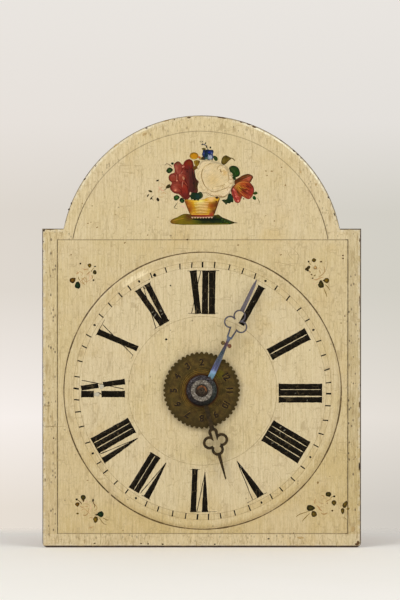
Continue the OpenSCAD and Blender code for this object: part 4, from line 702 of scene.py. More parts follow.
# Thin paint on the board. A stroke is a closed low ribbon; "paint" holds its colour and "stroke"
# its own directions for the brush marks.
class Paint:
    def __init__(self, name, plane=boardFront):
        self.name = name
        self.plane = plane
        self.mesh = bmesh.new()
        self.colour = self.mesh.verts.layers.float_color.new("paint")
        self.stroke = self.mesh.verts.layers.float_vector.new("stroke")
        self.count = 0

    def frontOf(self, level):
        return self.plane - level * layerGap

    # points are (x, z, halfWidth); the ribbon follows them, raised along its middle
    def ribbon(self, points, colour, front, lift=0.05, steps=3, tip=None):
        self.count += 1
        path = smoothPath(points, steps) if steps > 1 else points
        long_ = math.dist(path[0][:2], path[-1][:2])
        grid = bmesh.ops.create_grid(self.mesh, x_segments=len(path) - 1, y_segments=2, size=1)
        verts = grid["verts"]
        for vert in verts:
            share = (vert.co.x + 1) / 2
            side = vert.co.y
            at = round(share * (len(path) - 1))
            x, z, half = path[at]
            ahead = path[min(at + 1, len(path) - 1)]
            back = path[max(at - 1, 0)]
            run = Vector((ahead[0] - back[0], ahead[1] - back[1])).normalized()
            depth = front - lift * (1 - side * side)
            vert.co = Vector((x - run.y * half * side, depth, z + run.x * half * side)) * mm
            vert[self.colour] = mixTone(colour, tip or colour, share)
            vert[self.stroke] = (share * long_, side * half, self.count * strokeSeed)
        self.thicken(verts, front)

    def thicken(self, verts, front):
        faces = list(dict.fromkeys(face for vert in verts for face in vert.link_faces))
        grown = bmesh.ops.extrude_face_region(self.mesh, geom=faces)["geom"]
        for vert in (item for item in grown if isinstance(item, bmesh.types.BMVert)):
            vert.co.y = (front + strokeSunk) * mm

    # a squashed ball in the shape of a petal, leaf, bud or dot
    def dab(self, x, z, long_, wide, angle, colour, front, tip=None, rim=None, taper=0.0,
            ragged=0.0, lift=0.07, segments=14):
        self.count += 1
        ball = bmesh.ops.create_uvsphere(self.mesh, u_segments=segments, v_segments=6, radius=1)
        turn = math.radians(angle)
        for vert in ball["verts"]:
            s, t, depth = vert.co
            reach = min(1.0, math.hypot(s, t))
            grow = 1.0
            if ragged:
                around = Vector((s * 1.7, t * 1.7, self.count * edgeSeed))
                grow += ragged * noise.noise(around)
            u = s * grow
            v = t * grow * (1 - taper * s)
            vert[self.stroke] = (s * long_, t * wide, self.count * strokeSeed)
            shade = mixTone(colour, tip or colour, (s + 1) / 2)
            if rim and reach > 0.8:
                shade = mixTone(shade, rim, 0.7)
            vert[self.colour] = shade
            px = x + u * long_ * math.cos(turn) - v * wide * math.sin(turn)
            pz = z + u * long_ * math.sin(turn) + v * wide * math.cos(turn)
            py = front - depth * lift if depth > 0 else front - depth * dabSunk
            vert.co = Vector((px, py, pz)) * mm

    # any outline: a squashed ball whose rim follows the smoothed outline; tints are soft
    # (x, y, radius, colour) clouds on it. Outline and tints are in picture units.
    def patch(self, outline, colour, level=0, tints=(), rim=None, angle=0.0, lift=0.06, rings=14):
        self.count += 1
        border = [spot(*point) for point in closedPath(outline)]
        middle = [sum(parts) / len(border) for parts in zip(*border)]
        clouds = [(*spot(x, y), radius * pixel, tone(*shade)) for x, y, radius, shade in tints]
        ball = bmesh.ops.create_uvsphere(self.mesh, u_segments=len(border), v_segments=rings, radius=1)
        front = self.frontOf(level)
        turn = math.radians(angle)
        for vert in ball["verts"]:
            s, t, depth = vert.co
            reach = math.asin(min(1.0, math.hypot(s, t))) * 2 / math.pi
            at = round(math.atan2(t, s) / math.tau * len(border)) % len(border)
            x = middle[0] + (border[at][0] - middle[0]) * reach
            z = middle[1] + (border[at][1] - middle[1]) * reach
            shade = tone(*colour)
            for cx, cz, radius, tint in clouds:
                near = max(0.0, 1 - math.hypot(x - cx, z - cz) / radius)
                shade = mixTone(shade, tint, min(1.0, 1.5 * near))
            if rim and reach > 0.85:
                shade = mixTone(shade, tone(*rim), 0.75)
            vert[self.colour] = shade
            u = x * math.cos(turn) + z * math.sin(turn)
            v = z * math.cos(turn) - x * math.sin(turn)
            vert[self.stroke] = (u, v, self.count * strokeSeed)
            py = front - lift * (1 - reach ** 4) if depth > 0 else front - depth * dabSunk
            vert.co = Vector((x, py, z)) * mm

    # a brush line in picture units
    def line(self, points, half, colour, level=1, tip=None, steps=3):
        last = len(points) - 1
        path = []
        for i, point in enumerate(points):
            wide = half * (0.45 if i in (0, last) else 1.0)
            path.append((*spot(*point), wide * pixel))
        self.ribbon(path, tone(*colour), self.frontOf(level), 0.05, steps, tip and tone(*tip))

    # a dab in picture units
    def drop(self, x, y, long_, wide, angle, colour, level=1, tip=None, rim=None, taper=0.0, ragged=0.0):
        self.dab(*spot(x, y), long_ * pixel, wide * pixel, angle, tone(*colour),
                 self.frontOf(level), tip and tone(*tip), rim and tone(*rim), taper=taper,
                 ragged=ragged, lift=0.06)

    # the faces in the order of their vertices, so that each run gives the same mesh
    def order(self, face):
        first, second, third = sorted(vert.index for vert in face.verts)[:3]
        return (first * indexLimit + second) * indexLimit + third

    def finish(self, material, body="movement_frame"):
        self.mesh.verts.index_update()
        self.mesh.faces.sort(key=self.order)
        bmesh.ops.recalc_face_normals(self.mesh, faces=self.mesh.faces)
        for face in self.mesh.faces:
            face.smooth = True
        data = bpy.data.meshes.new(self.name)
        self.mesh.to_mesh(data)
        self.mesh.free()
        made = addObject(self.name, data)
        data.materials.append(material)
        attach(made, body)


def mixTone(first, second, share):
    return tuple(a + (b - a) * share for a, b in zip(first, second))


def smoothPath(points, steps):
    path = []
    for i in range(len(points) - 1):
        before = points[max(i - 1, 0)]
        start, end = points[i], points[i + 1]
        after = points[min(i + 2, len(points) - 1)]
        for step in range(steps):
            t = step / steps
            path.append(tuple(
                0.5 * (2 * b + (c - a) * t + (2 * a - 5 * b + 4 * c - d) * t * t
                       + (3 * b - a - 3 * c + d) * t ** 3)
                for a, b, c, d in zip(before, start, end, after)))
    path.append(tuple(points[-1]))
    return path


# A closed outline with one more point between every two
def closedPath(points):
    path = []
    count = len(points)
    for i in range(count):
        before, start = points[i - 1], points[i]
        end, after = points[(i + 1) % count], points[(i + 2) % count]
        path.append(start)
        path.append(tuple((9 * (b + c) - a - d) / 16 for a, b, c, d in zip(before, start, end, after)))
    return path


# Picture units run right and down. "spot" gives a place in millimetres, at the scale that the camera was
# fitted to; the sizes of strokes use "pixel", the scale that the solids were measured at.
pictureScale = 0.7524
pictureMiddle = (200, 300)
middleAt = (-1.28, 186.3)


def spot(x, y):
    return (middleAt[0] + (x - pictureMiddle[0]) * pictureScale,
            middleAt[1] + (pictureMiddle[1] - y) * pictureScale)


def finishPaint(graph, shader, colour, grime, smoothest, height, specular):
    graph.feed(shader.inputs["Base Color"], colour)
    graph.feed(shader.inputs["Roughness"], graph.span(grime, 0.3, 0.7, smoothest, 0.5, "LINEAR"))
    bump = graph.node("Bump", {"Strength": 1.0, "Distance": bumpDistance, "Height": height})
    graph.feed(shader.inputs["Normal"], bump.outputs[0])
    shader.inputs["Specular IOR Level"].default_value = specular


def oilPaint():
    material, graph, shader = newMaterial("oilPaint")
    place = graph.place()
    colour = graph.node("Attribute", attribute_name="paint").outputs["Color"]
    stroke = graph.node("Attribute", attribute_name="stroke").outputs["Vector"]
    streak = graph.noise(graph.stretch(stroke, (0.35, 2.3, 1.0)), 1.0, 3.0, 0.6, 0.4)
    dark = graph.blend(1.0, colour, (0.62, 0.6, 0.58, 1.0), "MULTIPLY")
    pale = graph.blend(1.0, colour, (1.34, 1.3, 1.24, 1.0), "MULTIPLY")
    colour = graph.blend(graph.span(streak, 0.5, 0.3, 0.0, 0.7), colour, dark)
    colour = graph.blend(graph.span(streak, 0.54, 0.72, 0.0, 0.8), colour, pale)
    grime = graph.noise(place, 1.1, 4.0, 0.65)
    colour = graph.blend(graph.span(grime, 0.56, 0.7, 0.0, 0.4), colour, dark)
    height = graph.plus(graph.times(streak, 0.07), graph.times(grime, 0.04))
    finishPaint(graph, shader, colour, grime, 0.34, height, 0.12)
    return material


def blackPaint():
    material, graph, shader = newMaterial("blackPaint")
    place = graph.place()
    cloud = graph.noise(place, 0.5, 4.0, 0.65)
    colour = graph.blend(graph.span(cloud, 0.35, 0.7), tone(9, 8, 3), tone(26, 18, 8))
    cracks = graph.group(crackle, Place=place, Cell=5.0, Width=0.25)["Lines"]
    colour = graph.blend(graph.times(cracks, 0.35), colour, tone(120, 104, 74))
    worn = graph.span(graph.noise(graph.stretch(place, (1.0, 1.0, 0.6)), 0.9, 4.0, 0.75), 0.69, 0.74)
    colour = graph.blend(graph.times(worn, 0.6), colour, tone(150, 134, 100))
    height = graph.times(cloud, 0.08)
    finishPaint(graph, shader, colour, cloud, 0.32, height, 0.06)
    return material


black = blackPaint()
ink = tone(26, 22, 12)

# Hours. Each stroke is (outer end, inner end) as (u, v, half width): u runs out from the dial's centre
# and v runs clockwise. "thin" strokes and serifs are hairlines.
hours = {
    0: dict(thick=[((89.9, -6.55, 2.25), (57.9, -2.65, 1.95)), ((89.9, 2.75, 2.0), (57.7, 2.4, 2.1)),
                   ((89.9, 7.9, 2.3), (57.7, 7.6, 2.0))],
            thin=[((89.7, -0.9), (58.0, -7.6))], serifs=[(89.8, -10.9, 13.2), (57.8, -10.2, 12.4)]),
    30: dict(thick=[((89.8, 0.0, 2.3), (58.0, 1.0, 1.9))], thin=[], serifs=[(89.8, -3.4, 3.6)]),
    62: dict(thick=[((90.0, -2.67, 1.97), (58.1, -2.23, 1.85)), ((90.0, 2.34, 1.97), (58.1, 2.64, 1.85))],
             thin=[], serifs=[(90.0, -5.4, 5.0), (58.1, -4.8, 5.2)]),
    90: dict(thick=[((90.3, -2.8, 1.8), (58.2, -2.8, 1.8)), ((90.3, 1.92, 2.0), (58.2, 1.92, 2.0)),
                    ((90.3, 7.17, 1.81), (58.2, 7.17, 1.81))], thin=[], serifs=[]),
    121.4: dict(thick=[((89.9, v, 1.85), (58.3, v * 0.95, 1.8)) for v in (-7.2, -2.4, 2.4, 7.2)],
                thin=[], serifs=[]),
    153: dict(thick=[((90.9, -3.3, 2.6), (60.1, 0.6, 0.15))], thin=[((90.7, 3.3), (61.0, 0.7))],
              serifs=[(90.9, -8.6, 8.0)]),
    180: dict(thick=[((91.5, 6.5, 1.9), (59.6, 5.05, 1.75)), ((91.5, -2.35, 2.05), (62.0, -2.4, 0.15))],
              thin=[((91.2, 3.6), (63.0, -2.3))], serifs=[(91.5, -11.6, 8.6), (59.6, 1.2, 9.0)]),
    211: dict(thick=[((90.7, 7.3, 1.78), (60.0, 6.9, 1.7)), ((90.7, 2.85, 1.78), (60.0, 2.5, 1.7)),
                     ((90.7, -5.9, 2.15), (61.0, -5.15, 0.15))],
              thin=[((90.4, -0.3), (61.6, -5.1))], serifs=[(60.0, 0.2, 9.6), (90.7, -9.4, -2.0)]),
    240.5: dict(thick=[((90.5, 7.7, 1.7), (59.0, 7.4, 1.65)), ((90.5, 3.2, 1.7), (59.0, 3.15, 1.65)),
                       ((90.5, -1.3, 1.7), (59.0, -1.1, 1.65)), ((90.5, -9.5, 2.15), (60.0, -7.65, 0.15))],
                thin=[((90.2, -4.1), (60.8, -7.6))], serifs=[(90.5, -12.4, -3.0)]),
    270: dict(thick=[((90.5, -2.85, 2.15), (81.6, -2.85, 2.15)), ((75.2, -2.85, 2.1), (58.2, -2.85, 2.1)),
                     ((90.5, 1.55, 1.6), (78.2, 3.6, 1.6)), ((74.0, 4.25, 1.65), (58.2, 6.6, 1.8))],
              thin=[((90.3, 7.6), (58.6, 1.0))], serifs=[]),
    300: dict(thick=[((89.6, -0.9, 2.0), (57.9, 2.9, 1.7))], thin=[((89.4, 5.5), (58.1, -3.1))],
              serifs=[(89.6, -4.6, 9.6), (57.9, -6.2, -3.2)]),
    329.5: dict(thick=[((89.5, -3.1, 1.9), (57.8, -0.5, 1.85)), ((89.5, 5.1, 1.95), (57.8, 3.1, 1.8))],
                thin=[((89.3, 1.6), (58.0, -5.9))], serifs=[(57.8, -7.6, 6.2), (89.5, -6.0, 8.6)]),
}


def dialPoint(angle, u, v, centre=dialCentre):
    turn = math.radians(angle)
    return (centre[0] + u * math.sin(turn) + v * math.cos(turn),
            centre[1] + u * math.cos(turn) - v * math.sin(turn))


def handPainted(angle, start, end, half0, half1, stations, wobble, centre=dialCentre):
    points = []
    for i in range(stations + 1):
        t = i / stations
        narrow = t ** 1.5 if half1 < 0.5 < half0 else t
        u = start[0] + (end[0] - start[0]) * t
        v = start[1] + (end[1] - start[1]) * t
        half = half0 + (half1 - half0) * narrow
        flare = 0.28 * (max(0.0, 1 - t * 14) + max(0.0, 1 - (1 - t) * 14)) if half > 1.0 else 0.0
        sway = wobble * noise.noise(Vector((u * 0.35, angle * 1.7, v)))
        swell = wobble * noise.noise(Vector((u * 0.5, angle * 2.3 + 40, v)))
        x, z = dialPoint(angle, u, v + sway, centre)
        points.append((x, z, max(0.08, half + flare + swell)))
    return points


numerals = Paint("dial_numerals")


def numeralStroke(angle, start, end, halves, stations, wobble, lift):
    path = handPainted(angle, start, end, *halves, stations, wobble, numeralCentre)
    numerals.ribbon(path, ink, dialFront, lift=lift, steps=1)


for angle, strokes in hours.items():
    for (u0, v0, w0), (u1, v1, w1) in strokes["thick"]:
        fuller = 0.27 if w1 > 1 else 0.12
        halves = (w0 + fuller, w1 + min(fuller, w1))
        numeralStroke(angle, (u0 + 0.3, v0), (u1 - 0.4, v1), halves, 14, 0.16, 0.06)
    for (u0, v0), (u1, v1) in strokes["thin"]:
        numeralStroke(angle, (u0, v0), (u1, v1), (0.3, 0.28), 12, 0.2, 0.04)
    for u, v0, v1 in strokes["serifs"]:
        numeralStroke(angle, (u, v0), (u + 0.25, v1), (0.16, 0.16), 10, 0.22, 0.04)
numerals.finish(black)

# Minute marks, spaced by hand: degrees clockwise from the top
markAngles = [
    0.0, 5.5, 12.2, 18.5, 24.6, 29.8, 35.5, 42.7, 49.8, 56.0, 61.2, 66.8, 73.6, 80.3, 86.3, 91.3, 96.8,
    103.5, 110.0, 115.9, 121.6, 127.4, 134.4, 141.4, 147.0, 152.2, 158.2, 165.2, 171.8, 177.3, 182.3,
    187.7, 193.7, 200.6, 206.5, 211.8, 217.0, 223.4, 230.2, 235.2, 240.3, 245.7, 253.5, 260.4, 265.9,
    271.0, 276.4, 283.6, 290.4, 295.8, 301.3, 306.5, 312.9, 319.4, 324.6, 329.9, 336.0, 343.1, 349.7,
    355.1,
]
track = Paint("minute_track")
for minute, angle in enumerate(markAngles):
    half = 0.68 if minute % 15 == 0 else 0.48
    if minute % 5 or minute % 15 == 0:
        jitter = noise.noise(Vector((minute * 0.77, 3.1, 0.4)))
        outer = 97.1 + 0.6 * jitter
        inner = 92.9 + 0.5 * noise.noise(Vector((minute * 0.91, 8.2, 1.4)))
        lean = 0.5 * noise.noise(Vector((minute * 0.53, 1.9, 6.4)))
        track.ribbon(handPainted(angle, (outer, lean), (inner, -lean), half, half * 0.95, 4, 0.12,
                                 ringCentre), ink, dialFront, lift=0.05, steps=1)
    else:
        x, z = dialPoint(angle, 95.2, 0.0, ringCentre)
        track.dab(x, z, 0.95, 0.8, 90 - angle, ink, dialFront, ragged=0.4)
for x, y, size in [(154.8, 275, 1.6), (149.4, 279.3, 0.5), (166.2, 339.3, 1.2), (170.5, 285.5, 0.8)]:
    track.dab(*spot(x, y), size * pixel, size * pixel, 30, ink, dialFront, ragged=0.4)
track.finish(black)
print("numerals and minute track painted")


# The basket of flowers in the arch
def paintBasket(art):
    art.patch(
        [(170.2, 221.6), (172.1, 219.1), (176.9, 217.2), (181.2, 214.8), (185.2, 213.6), (190, 214.2),
         (201, 215.5), (213, 215.4), (217.5, 214.4), (219.8, 215.4), (222.1, 217.2), (226.7, 219),
         (231.3, 220.9), (235.5, 222.6), (231.3, 224.1), (226.7, 224.5), (217.5, 224.6), (203.8, 224.6),
         (190, 224.6), (183.2, 224.9), (177.7, 224.3), (172.1, 223.7)],
        (106, 90, 6), 0,
        tints=[(170, 222, 7, (140, 92, 20)), (180, 218, 7, (116, 98, 2)), (189, 217, 6, (86, 58, 8)),
               (197, 221, 6, (74, 78, 4)), (204, 221, 8, (26, 38, 2)), (213, 219.5, 9, (8, 28, 4)),
               (222, 220.5, 8, (10, 34, 4)), (230, 222.5, 6, (30, 50, 6))])
    art.line([(176, 224.1), (190, 224.3), (206, 224.2), (220, 224.1), (229, 223.6)], 0.5, (104, 94, 8), 1)
    art.line([(192.5, 219.2), (203, 219.6), (214, 219.2), (221, 219.8)], 1.0, (6, 14, 1), 1)
    art.line([(229, 221), (233, 222.4), (237.4, 222.9)], 0.5, (52, 44, 14), 1)
    art.line([(186, 215), (189.6, 217), (192, 218.6)], 0.5, (84, 44, 10), 1)
    art.line([(172, 221.2), (178, 219.4), (184, 218.2)], 0.4, (160, 122, 34), 1)
    for at in [(222, 219.6), (224.6, 221), (227, 222.6), (229.8, 222), (221, 223)]:
        art.drop(*at, 0.7, 0.55, 30, (46, 84, 20), 1)
    art.patch(
        [(184.4, 200.6), (186, 199.4), (190, 199.6), (197, 200.2), (204, 199), (208.4, 197.2),
         (213, 196.9), (217.5, 197), (220, 198.4), (218.8, 202), (217.4, 206), (215.9, 210),
         (214.5, 214), (213.2, 217), (206, 217.4), (198, 217.4), (192, 217), (190.3, 215),
         (188.6, 211.5), (186.9, 207.5), (185.4, 203.6)],
        (206, 158, 44), 0.5,
        tints=[(192, 205.5, 5, (186, 112, 12)), (186, 203, 5.4, (142, 72, 12)),
               (188.6, 210, 5.4, (138, 66, 10)), (196.6, 204, 5.5, (218, 178, 34)),
               (201, 202.5, 4.6, (236, 224, 124)),
               (199, 211, 6, (196, 146, 12)), (204, 207, 5, (224, 180, 82)), (208, 205, 3.6, (204, 144, 50)),
               (211.6, 206, 4.6, (160, 82, 14)), (216, 204.5, 5.2, (96, 46, 6)),
               (214, 211.5, 4.6, (96, 40, 10)), (211.4, 214.5, 3.6, (150, 52, 34)),
               (211, 198.5, 4, (230, 184, 120))])
    for k in range(8):
        y = 201.8 + 1.5 * k
        left, right = 190 + 0.3 * k, 211.5 - 0.25 * k
        art.line([(left + 3.8, y), (200, y + 0.5), (right - 2.6, y)], 0.36 if k < 5 else 0.26,
                 (246, 224, 132), 1.6, tip=(240, 206, 150))
        art.line([(left - 1, y + 0.75), (200, y + 1.3), (right + 2, y + 0.6)], 0.24, (142, 84, 4), 1.6,
                 tip=(120, 58, 8))
    art.line([(190.8, 215.3), (202, 216), (213.2, 215.2)], 1.1, (98, 26, 4), 1.8, tip=(150, 50, 32))
    art.line([(191, 213.6), (200, 214.2), (209, 213.8)], 0.35, (222, 166, 70), 1.8)
    art.line([(184.8, 200.4), (187.4, 206.5), (190.6, 215)], 0.45, (126, 68, 14), 1.6)
    art.line([(219.2, 199), (216.9, 206), (213.9, 215)], 0.55, (92, 48, 8), 1.6)
    art.line([(207.6, 198.3), (211.6, 198), (215.4, 198)], 0.6, (234, 190, 124), 1.8)
    art.drop(216.8, 197.7, 1.15, 1.5, 75, (52, 30, 6), 2)
    art.drop(216.4, 201.6, 0.7, 1.0, 90, (84, 40, 8), 2)
    for k in range(8):
        art.drop(192.4 + 2.75 * k, 217.6, 0.75, 0.85, -90, (206, 164, 138), 2.4, taper=0.8)
    art.line([(191.2, 216.9), (202, 217.1), (214.2, 216.7)], 0.24, (200, 150, 120), 2.2)


def paintRedRose(art):
    art.patch(
        [(173.6, 165.4), (174.8, 163.1), (177.4, 161.3), (179.9, 162), (181.6, 164.2), (183.2, 164.4),
         (184.2, 161.8), (186.6, 159.7), (189.8, 159.1), (192.6, 160.9), (193.4, 164), (194.3, 168.4),
         (195, 173), (196.2, 178), (198.7, 181.7), (197.8, 186.2), (198, 191.8), (194.4, 194.6),
         (190.6, 196.6), (188.2, 199.2), (184.8, 199.8), (181.8, 197), (178.6, 194.2), (174.2, 193.2),
         (170.8, 190.2), (169.9, 187.5), (170.9, 184.9), (171.8, 182.6), (169.4, 180.6), (168.4, 177.8),
         (169.4, 175), (171.6, 173.4), (174.4, 172.6), (174.6, 169.4)],
        (134, 52, 38), 0, rings=20, angle=80,
        tints=[(190, 163, 7, (104, 34, 16)), (190, 171, 8, (92, 34, 26)), (193, 180, 10, (70, 26, 22)),
               (192, 190, 9, (70, 28, 24)), (196.5, 185, 5, (60, 36, 14)), (194.5, 176, 4, (56, 26, 12)),
               (186, 195, 6, (96, 32, 24)), (182, 190, 6, (122, 28, 14)), (177.5, 163, 3, (70, 62, 26)),
               (172, 178, 4, (132, 52, 34)), (176, 168, 5, (138, 56, 46)), (187, 163, 3.5, (128, 26, 12))])
    petal = (140, 60, 44)
    art.patch([(174, 166), (175.4, 163.4), (178.4, 161.9), (181.2, 164.6), (182.3, 169), (181, 174.6),
               (177.6, 175.6), (175.4, 171.4)], (142, 62, 50), 1, angle=85, rim=(112, 36, 26),
              tints=[(177.6, 163, 2.6, (92, 74, 40)), (179.6, 168, 4, (130, 50, 36)),
                     (176.4, 168, 2.4, (160, 84, 64))])
    art.patch([(184, 165), (185.2, 161.6), (188.4, 160), (191.8, 161.4), (192.8, 164.6), (191.4, 168.6),
               (187.4, 169.6), (184.4, 168.2)], (120, 28, 14), 1, angle=10, rim=(98, 22, 8),
              tints=[(190, 162.6, 4, (112, 44, 10)), (188, 168, 4, (104, 30, 26))])
    art.patch([(169, 177.8), (170.2, 175), (172.8, 173.9), (175.6, 174.8), (177, 178.4), (175.6, 181.6),
               (172.4, 182), (170, 180.4)], (134, 54, 36), 1.2, angle=60, rim=(98, 30, 18),
              tints=[(173, 175, 3, (146, 70, 56))])
    art.patch([(170.8, 187.6), (172.2, 184.2), (176, 182.4), (180.6, 183.4), (182.6, 187.4), (181, 191.6),
               (177, 193), (172.6, 191.6)], petal, 1.4, angle=20, rim=(116, 40, 26),
              tints=[(175.5, 189.5, 2.6, (164, 84, 66)), (180, 187, 4, (128, 42, 26))])
    art.patch([(181, 184.8), (183.6, 182.6), (186.8, 185.4), (188.4, 190), (188, 195), (185.4, 198.4),
               (182.4, 195.4), (180.4, 190.6)], (124, 34, 20), 1.6, angle=100, rim=(96, 24, 12),
              tints=[(184, 186, 3, (136, 46, 26)), (185, 195, 3.4, (100, 30, 24))])
    art.patch([(177.4, 176.4), (180.4, 173.4), (184.6, 173.8), (187, 177), (186.4, 181), (183, 183.4),
               (179, 182)], (136, 56, 38), 2, angle=70, rim=(112, 36, 24),
              tints=[(186, 178, 3, (110, 34, 20)), (180, 175, 2.4, (154, 72, 56))])
    pale = (176, 104, 82)
    for points, half, colour in [
            ([(176.6, 174.4), (176.8, 178), (176.4, 181)], 0.55, (162, 92, 72)),
            ([(176.4, 167.6), (177, 170.4), (177.4, 172.6)], 0.4, (164, 92, 70)),
            ([(182.9, 180.8), (182.4, 184), (182.3, 187.4)], 0.5, pale),
            ([(184.6, 182.4), (186.4, 184.2), (187.6, 186)], 0.45, (160, 76, 52)),
            ([(183, 171.4), (181.6, 172.8), (180.4, 174.8)], 0.35, pale),
            ([(178.4, 188), (180.4, 189.4), (182, 191.8)], 0.35, (100, 26, 14)),
            ([(184, 179.6), (185.2, 180.4), (186.8, 183.8), (188, 188)], 0.5, (92, 14, 4)),
            ([(182.6, 165.4), (182.8, 168), (182.2, 170.2)], 0.35, (104, 26, 18)),
            ([(183.2, 168.6), (185.2, 169.8), (187.6, 170)], 0.3, (84, 18, 12)),
            ([(189, 166), (190, 172), (189.6, 180), (190.4, 188)], 0.5, (84, 38, 30)),
            ([(192.2, 168), (192.8, 176), (194.2, 184), (193.6, 191)], 0.55, (52, 20, 14)),
            ([(195.6, 178), (196.8, 182.6), (195.8, 190)], 0.4, (46, 30, 8)),
            ([(197.4, 183), (196.6, 187.4), (196.8, 192)], 0.4, (70, 50, 14)),
            ([(188.2, 172), (188, 178), (188.8, 184), (188.4, 190)], 0.45, (104, 42, 30)),
            ([(194.2, 170), (194.8, 174.6), (195.8, 178.6)], 0.4, (50, 30, 8))]:
        art.line(points, half, colour, 3)
    for x, y, long_, wide, angle, colour in [
            (183.2, 166.7, 1.5, 0.8, 30, (184, 112, 92)), (179.7, 175, 1.1, 0.9, 60, (178, 92, 70)),
            (183.5, 178.2, 1.9, 1.1, -65, (178, 120, 88)), (176.9, 180.6, 1.0, 0.8, 0, (190, 120, 94)),
            (175.5, 190.2, 1.2, 0.8, 20, (216, 126, 92)), (174.2, 186.6, 0.9, 0.5, 10, (160, 82, 66)),
            (185, 179.6, 1.2, 0.7, 80, (72, 10, 6)), (187, 171.6, 0.9, 0.6, 70, (66, 16, 12)),
            (193.4, 183.2, 0.8, 0.6, 70, (34, 10, 8)), (181.6, 181.4, 1.0, 0.6, 20, (120, 30, 22)),
            (190.3, 193.5, 1.6, 0.85, 80, (206, 176, 140))]:
        art.drop(x, y, long_, wide, angle, colour, 3.4)


